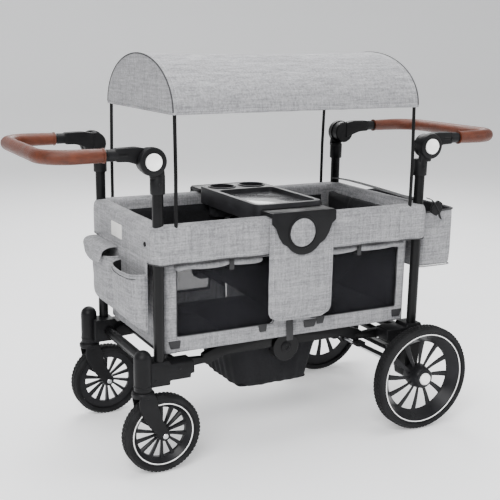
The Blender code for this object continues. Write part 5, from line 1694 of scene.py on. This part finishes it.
class WAGON_OT_rear_bag(WagonOperator, bpy.types.Operator):
    """Rear storage bag with piped edges, dark lining, strap and buckle"""
    bl_idname = "wagon.rear_bag"
    bl_label = "Rear bag"

    def execute(self, context):
        low, high = BAG
        half_y = high.y - 0.003
        mid_x = (low.x + high.x) / 2 + 0.0008
        half_x = (high.x - low.x) / 2 - 0.004
        rows = []
        around = 72
        tall = 14
        for i in range(tall + 1):
            level = i / tall
            bulge = sin(pi * min(1.0, level * 1.04)) ** 0.7
            row = []
            for k in range(around):
                t = 2 * pi * (k + 0.5) / around
                cx, cy = cos(t), sin(t)
                power = 12.0
                r = (abs(cx) ** power + abs(cy) ** power) ** (-1 / power)
                x, y = half_x * cx * r, half_y * cy * r
                out = 0.004 * bulge * (1 - abs(x / half_x) ** 6 * abs(y / half_y) ** 6)
                slope = 0.006 * (0.5 + 0.5 * x / half_x)
                z = low.z + 0.004 + (high.z - low.z - 0.016 + slope) * level
                sway = ripple((x, y, z), 0.05, 0.0026, 6.5) * bulge
                x2 = mid_x + x * (1 - 0.03 * (1 - level)) + (cx * (out + sway) if cx > 0 else 0)
                row.append(Vector((x2, y + cy * (out + sway) * 0.7, z)))
            rows.append(row)
        closed = []
        for share in (0.15, 0.5, 0.85):
            closed.append([Vector((mid_x + (p.x - mid_x) * share, p.y * share, low.z + 0.002))
                           for p in rows[0]])
        rows = closed + rows
        cloth_sheet("rear_bag_shell", rows, "heather", 0.0030, "root", ["rear_bag"],
                    lining="lining", offset=-1.0, loop=True)
        trims = Shape()
        trims.tube(rows[-1] + rows[-1][:1], 0.0026, 10)
        piece("rear_bag_binding", trims, "black_thread", "root")
        piping = Shape()
        piping.tube(rows[3] + rows[3][:1], 0.0020, 10)
        for side in SIDES.values():
            edge = 8 if side > 0 else around - 9
            piping.tube([row[edge] for row in rows[3:]], 0.0020, 10)
        piece("rear_bag_piping", piping, "heather", "root")
        self.strap()
        return {"FINISHED"}

    @staticmethod
    def strap():
        """Back strap across the rear end, down to a buckle at the bag's left corner."""
        run = smooth_path([(0.398, 0.205, 0.690), (0.396, 0.100, 0.694), (0.396, -0.080, 0.690),
                           (0.398, -0.205, 0.684)], 8)
        strap = Shape()
        strap.tube(run, 0.012, 12, flat=0.13)
        fall = smooth_path([(0.424, -0.240, 0.690), (0.440, -0.246, 0.682), (0.458, -0.2475, 0.655),
                            (0.472, -0.246, 0.628)], 8)
        strap.tube(fall, 0.010, 12, flat=0.16)
        piece("back_strap", strap, "webbing", "root")
        buckle = Shape()
        turn = Matrix.Translation((0.452, -0.2500, 0.660)) @ Matrix.Rotation(radians(32), 4, "Y")
        outline = rounded([(-0.013, -0.020), (0.013, -0.020), (0.015, 0.004), (0.010, 0.022),
                           (-0.010, 0.022), (-0.015, 0.004)], 0.005, 4)
        buckle.slab(outline, "Y", -0.0045, 0.0045, 0.0020, 3)
        for x in (-0.0165, 0.0165):
            buckle.slab(rounded([(x - 0.0025, -0.010), (x + 0.0025, -0.010), (x + 0.0025, 0.010),
                                 (x - 0.0025, 0.010)], 0.002, 3), "Y", -0.0035, 0.0035, 0.001)
        mesh = buckle.mesh("back_strap_buckle")
        mesh.transform(turn)
        piece("back_strap_buckle", mesh, "moulding", "root")


class WAGON_OT_organiser(WagonOperator, bpy.types.Operator):
    """Front organiser with two pockets and a flap, blank patch and snap"""
    bl_idname = "wagon.organiser"
    bl_label = "Front organiser"

    def execute(self, context):
        low, high = ORGANISER
        divide = -0.002
        depth = high.x - low.x - 0.004
        mount_x = high.x
        for name, y0, y1, top, full in (("left", low.y, divide - 0.004, 0.542, 1.0),
                                        ("right", divide + 0.004, high.y, 0.548, 0.86)):
            rows = []
            for i in range(17):
                level = i / 16
                z = low.z + (top - low.z) * level
                swell = (1 - (1 - min(1.0, level * 4.5)) ** 2) * (0.88 + 0.12 * level) * full
                row = []
                for j in range(33):
                    share = j / 32
                    y = y0 + (y1 - y0) * share
                    shape = (1 - abs(2 * share - 1) ** 5) ** 0.6
                    dip = -0.006 * sin(pi * share) * level ** 3
                    x = mount_x - 0.001 - depth * swell * shape
                    x -= ripple((0, y, z), 0.04, 0.0030, 4.4) * shape
                    row.append(Vector((x, y, z + dip)))
                rows.append(row)
            cloth_sheet(f"organiser_pocket_{name}", rows, "heather", 0.0028, "front_end",
                        ["front_organiser"] if name == "left" else [], lining="lining",
                        offset=-1.0, turned=True)
            rim = Shape().tube([p + Vector((-0.0008, 0, 0)) for p in rows[-1]], 0.0022, 10)
            piece(f"organiser_rim_{name}", rim, "heather", "front_end")
            if name == "left":
                # A thin black tube 11 mm under the left pocket's rim: painted shadow cast by the
                # rim.
                shadow = Shape()
                shadow.tube([rows[-1][n] + Vector((-0.0006, 0, -0.011)) for n in range(2, 31)],
                            0.0009, 8)
                piece("organiser_rim_shadow_line", shadow, "black_thread", "front_end")
        panel = [[Vector((mount_x + 0.0005, y, z)) for y in
                  [low.y + (high.y - low.y) * n / 12 for n in range(13)]]
                 for z in [low.z - 0.004 + (0.586 - low.z) * k / 8 for k in range(9)]]
        cloth_sheet("organiser_back", panel, "heather", 0.0022, "front_end")
        rows = []
        y0, y1 = 0.012, high.y + 0.002
        for i in range(13):
            level = i / 12
            drop = smooth_flap(level)
            wide = (1 - max(0.0, level - 0.30) ** 2 * 0.55)
            row = []
            for j in range(21):
                side = -1 + j / 10
                y = (y0 + y1) / 2 + (y1 - y0) / 2 * side * wide
                curl = 0.012 * abs(side) ** 2.4 * level
                row.append(Vector((mount_x - 0.002 - drop[0], y, drop[1] + curl)))
            rows.append(row)
        cloth_sheet("organiser_flap", rows, "heather", 0.0026, "front_end", offset=0.0)
        rim = [row[0] for row in rows] + rows[-1][1:-1] + [row[-1] for row in reversed(rows)]
        piping = Shape().tube(rim, 0.0020, 10)
        piece("organiser_flap_piping", piping, "heather", "front_end")
        patch = Shape()
        x = -BAND_X - 0.0022
        patch.slab(rounded([(-0.020, 0.600), (0.062, 0.600), (0.062, 0.640), (-0.020, 0.640)],
                           0.003, 3), "X", x - 0.0010, x + 0.0010, 0.0004)
        piece("blank_patch", patch, "blank_label", "front_end")
        snap = Shape()
        snap.lathe([(0, 0.001), (0.0062, 0.001), (0.0062, -0.0016), (0.0045, -0.0030),
                    (0, -0.0034)], (-BAND_X - 0.0026, -0.192, 0.622), "X", 32)
        piece("corner_snap", snap, "moulding", "front_end")
        return {"FINISHED"}


def smooth_flap(level):
    """How far out and how high the flap of the right pocket is, from its seam to its tip."""
    out = 0.046 * (1 - (1 - min(1.0, level * 1.35)) ** 2)
    return out, 0.574 - 0.004 * level - 0.048 * level ** 2.2


# ------------------------------------------------------------- tray
def shield():
    """Front view of a hanger's plate: wide top, stepped sides and a rounded tip."""
    half, top = HANGER[1].x, HANGER[1].z
    tip = arc((0, 0.628), 0.060, 215, 325, 18)
    steps = [(-half, 0.658), (-0.088, 0.648), (-0.078, 0.622), (-0.066, 0.604)]
    right = [(-x, z) for x, z in reversed(steps)]
    return [(half - 0.006, top), (0.006 - half, top), (-half, top - 0.006), *steps, *tip,
            *right, (half, top - 0.006)]


class WAGON_OT_tray(WagonOperator, bpy.types.Operator):
    """Tray with a well and cup holders, and the hangers that carry it"""
    bl_idname = "wagon.tray"
    bl_label = "Tray"

    def execute(self, context):
        self.tray()
        for side_name, side in SIDES.items():
            self.hanger(side_name, side)
        return {"FINISHED"}

    @staticmethod
    def cut_shape(name, base, cutters):
        """Base less its cutters, as one plain mesh."""
        body = bpy.data.objects.new(name, base.mesh(name))
        bpy.context.scene.collection.objects.link(body)
        tools = []
        for n, cutter in enumerate(cutters):
            tool = bpy.data.objects.new(f"{name}_tool_{n}", cutter.mesh(f"{name}_tool_{n}"))
            bpy.context.scene.collection.objects.link(tool)
            step = body.modifiers.new(f"cut_{n}", "BOOLEAN")
            step.operation = "DIFFERENCE"
            step.solver = "EXACT"
            step.object = tool
            tools.append(tool)
        edge = body.modifiers.new("edges", "BEVEL")
        edge.width = 0.0018
        edge.segments = 3
        edge.limit_method = "ANGLE"
        edge.angle_limit = radians(50)
        edge.harden_normals = False
        graph = bpy.context.evaluated_depsgraph_get()
        mesh = bpy.data.meshes.new_from_object(body.evaluated_get(graph))
        for obj in (body, *tools):
            bpy.data.objects.remove(obj)
        mesh.materials.clear()
        mesh.shade_smooth()
        mesh.set_sharp_from_angle(angle=radians(40))
        return mesh

    def tray(self):
        half_x, half_y = TRAY[1].x, TRAY[1].y
        top = TRAY[1].z
        outline = rounded([(-half_x, -half_y), (half_x, -half_y), (half_x, half_y),
                           (-half_x, half_y)], 0.030, 8)
        base = Shape().slab(outline, "Z", 0.648, top - 0.0015)
        well = rounded([(-0.092, -0.1735), (0.092, -0.1735), (0.092, 0.0835), (-0.092, 0.0835)],
                       0.022, 8)
        cutters = [Shape().slab(well, "Z", top - 0.016, top + 0.01)]
        for x in (-0.050, 0.050):
            cutters.append(Shape().lathe([(0, 0.616), (0.0365, 0.616), (0.0365, top + 0.01),
                                          (0, top + 0.01)], (x, half_y - 0.052, 0), "Z", 56))
        mesh = self.cut_shape("tray_body", base, cutters)
        piece("tray_body", mesh, "tray_plastic", "tray", ["tray"])
        extras = Shape()
        for x in (-0.050, 0.050):
            centre = (x, half_y - 0.052, 0)
            extras.lathe([(0, 0.612), (0.036, 0.612), (0.0385, 0.6145), (0.0405, 0.650),
                          (0.0368, 0.650), (0.0365, 0.619), (0.034, 0.6165), (0, 0.6165)],
                         centre, "Z", 56)
            extras.lathe([(0.0366, top - 0.003), (0.0366, top + 0.0006), (0.0375, top + 0.0016),
                          (0.0405, top + 0.0016), (0.0425, top - 0.0005), (0.0425, top - 0.003)],
                         centre, "Z", 56)
            for turn in range(3):
                t = radians(90 + 120 * turn)
                spot = Vector(centre) + Vector((0.0352 * cos(t), 0.0352 * sin(t), 0))
                extras.tube([spot + Vector((0, 0, 0.625)), spot + Vector((0, 0, 0.690))],
                            0.0022, 8)
        piece("tray_cups", extras, "tray_plastic", "tray")
        # Grey sheet on the well's floor: glossy plastic with a painted reflection of the light in
        # its grey colour.
        well_floor = Shape()
        floor = rounded([(-0.0895, -0.171), (0.0895, -0.171), (0.0895, 0.081), (-0.0895, 0.081)],
                        0.020, 8)
        well_floor.slab(floor, "Z", top - 0.0162, top - 0.0145, 0.0005)
        piece("tray_well_reflection", well_floor, "tray_painted_reflection", "tray")

    @staticmethod
    def hanger(side_name, side):
        face_in, face_out = HANGER[1].y - 0.005, HANGER[1].y
        plate = Shape()
        plate.slab(shield(), "Y", side * face_in, side * (face_out - 0.0008), 0.0022, 3)
        plate.block((-0.098, min(side * 0.1911, side * (face_in + 0.003)), BAND_TOP + 0.0020),
                    (0.098, max(side * 0.1911, side * (face_in + 0.003)), 0.6870), 0.003)
        plate.block((-0.088, min(side * 0.1911, side * 0.195), 0.654),
                    (0.088, max(side * 0.1911, side * 0.195), 0.684), 0.0012)
        centre = (-0.005, side * face_out, 0.630)
        plate.lathe([(0.0385, -side * 0.002), (0.0395, side * 0.0006), (0.0415, side * 0.0016),
                     (0.0445, side * 0.0010), (0.0460, -side * 0.002)], centre, "Y", 64)
        piece(f"hanger_plate_{side_name}", plate, "moulding", "side_hangers",
              [f"tray_hanger_{side_name}"])
        disc = Shape().lathe([(0, -side * 0.0020), (0.0386, -side * 0.0020),
                              (0.0386, -side * 0.0004), (0.036, side * 0.0004),
                              (0, side * 0.0009)], centre, "Y", 64)
        piece(f"hanger_disc_{side_name}", disc, "heather", "side_hangers")


# ------------------------------------------------------------- panel and main
OPERATORS = (
    WAGON_OT_stage, WAGON_OT_end_frames, WAGON_OT_brackets, WAGON_OT_linkage,
    WAGON_OT_rear_wheels, WAGON_OT_casters, WAGON_OT_brake, WAGON_OT_handles, WAGON_OT_canopy,
    WAGON_OT_band, WAGON_OT_walls, WAGON_OT_seats, WAGON_OT_foot_well, WAGON_OT_side_pockets,
    WAGON_OT_rear_bag, WAGON_OT_organiser, WAGON_OT_tray,
)


class WAGON_PT_pieces(bpy.types.Panel):
    """Buttons that make each group of pieces"""
    bl_idname = "WAGON_PT_pieces"
    bl_label = "Push wagon"
    bl_space_type = "VIEW_3D"
    bl_region_type = "UI"
    bl_category = "Wagon"

    def draw(self, context):
        for group in (context.scene.wagon_sizes, context.scene.wagon_colours):
            for name in group.bl_rna.properties.keys():
                if name not in ("rna_type", "name"):
                    self.layout.prop(group, name)
        for operator in OPERATORS:
            self.layout.operator(operator.bl_idname)


CLASSES = (WagonSizes, WagonColours, *OPERATORS, WAGON_PT_pieces)


def register():
    for cls in CLASSES:
        bpy.utils.register_class(cls)
    bpy.types.Scene.wagon_sizes = bpy.props.PointerProperty(type=WagonSizes)
    bpy.types.Scene.wagon_colours = bpy.props.PointerProperty(type=WagonColours)


def unregister():
    del bpy.types.Scene.wagon_colours
    del bpy.types.Scene.wagon_sizes
    for cls in reversed(CLASSES):
        bpy.utils.unregister_class(cls)


def main():
    register()
    for operator in OPERATORS:
        group, name = operator.bl_idname.split(".")
        getattr(getattr(bpy.ops, group), name)()


if __name__ == "__main__":
    main()
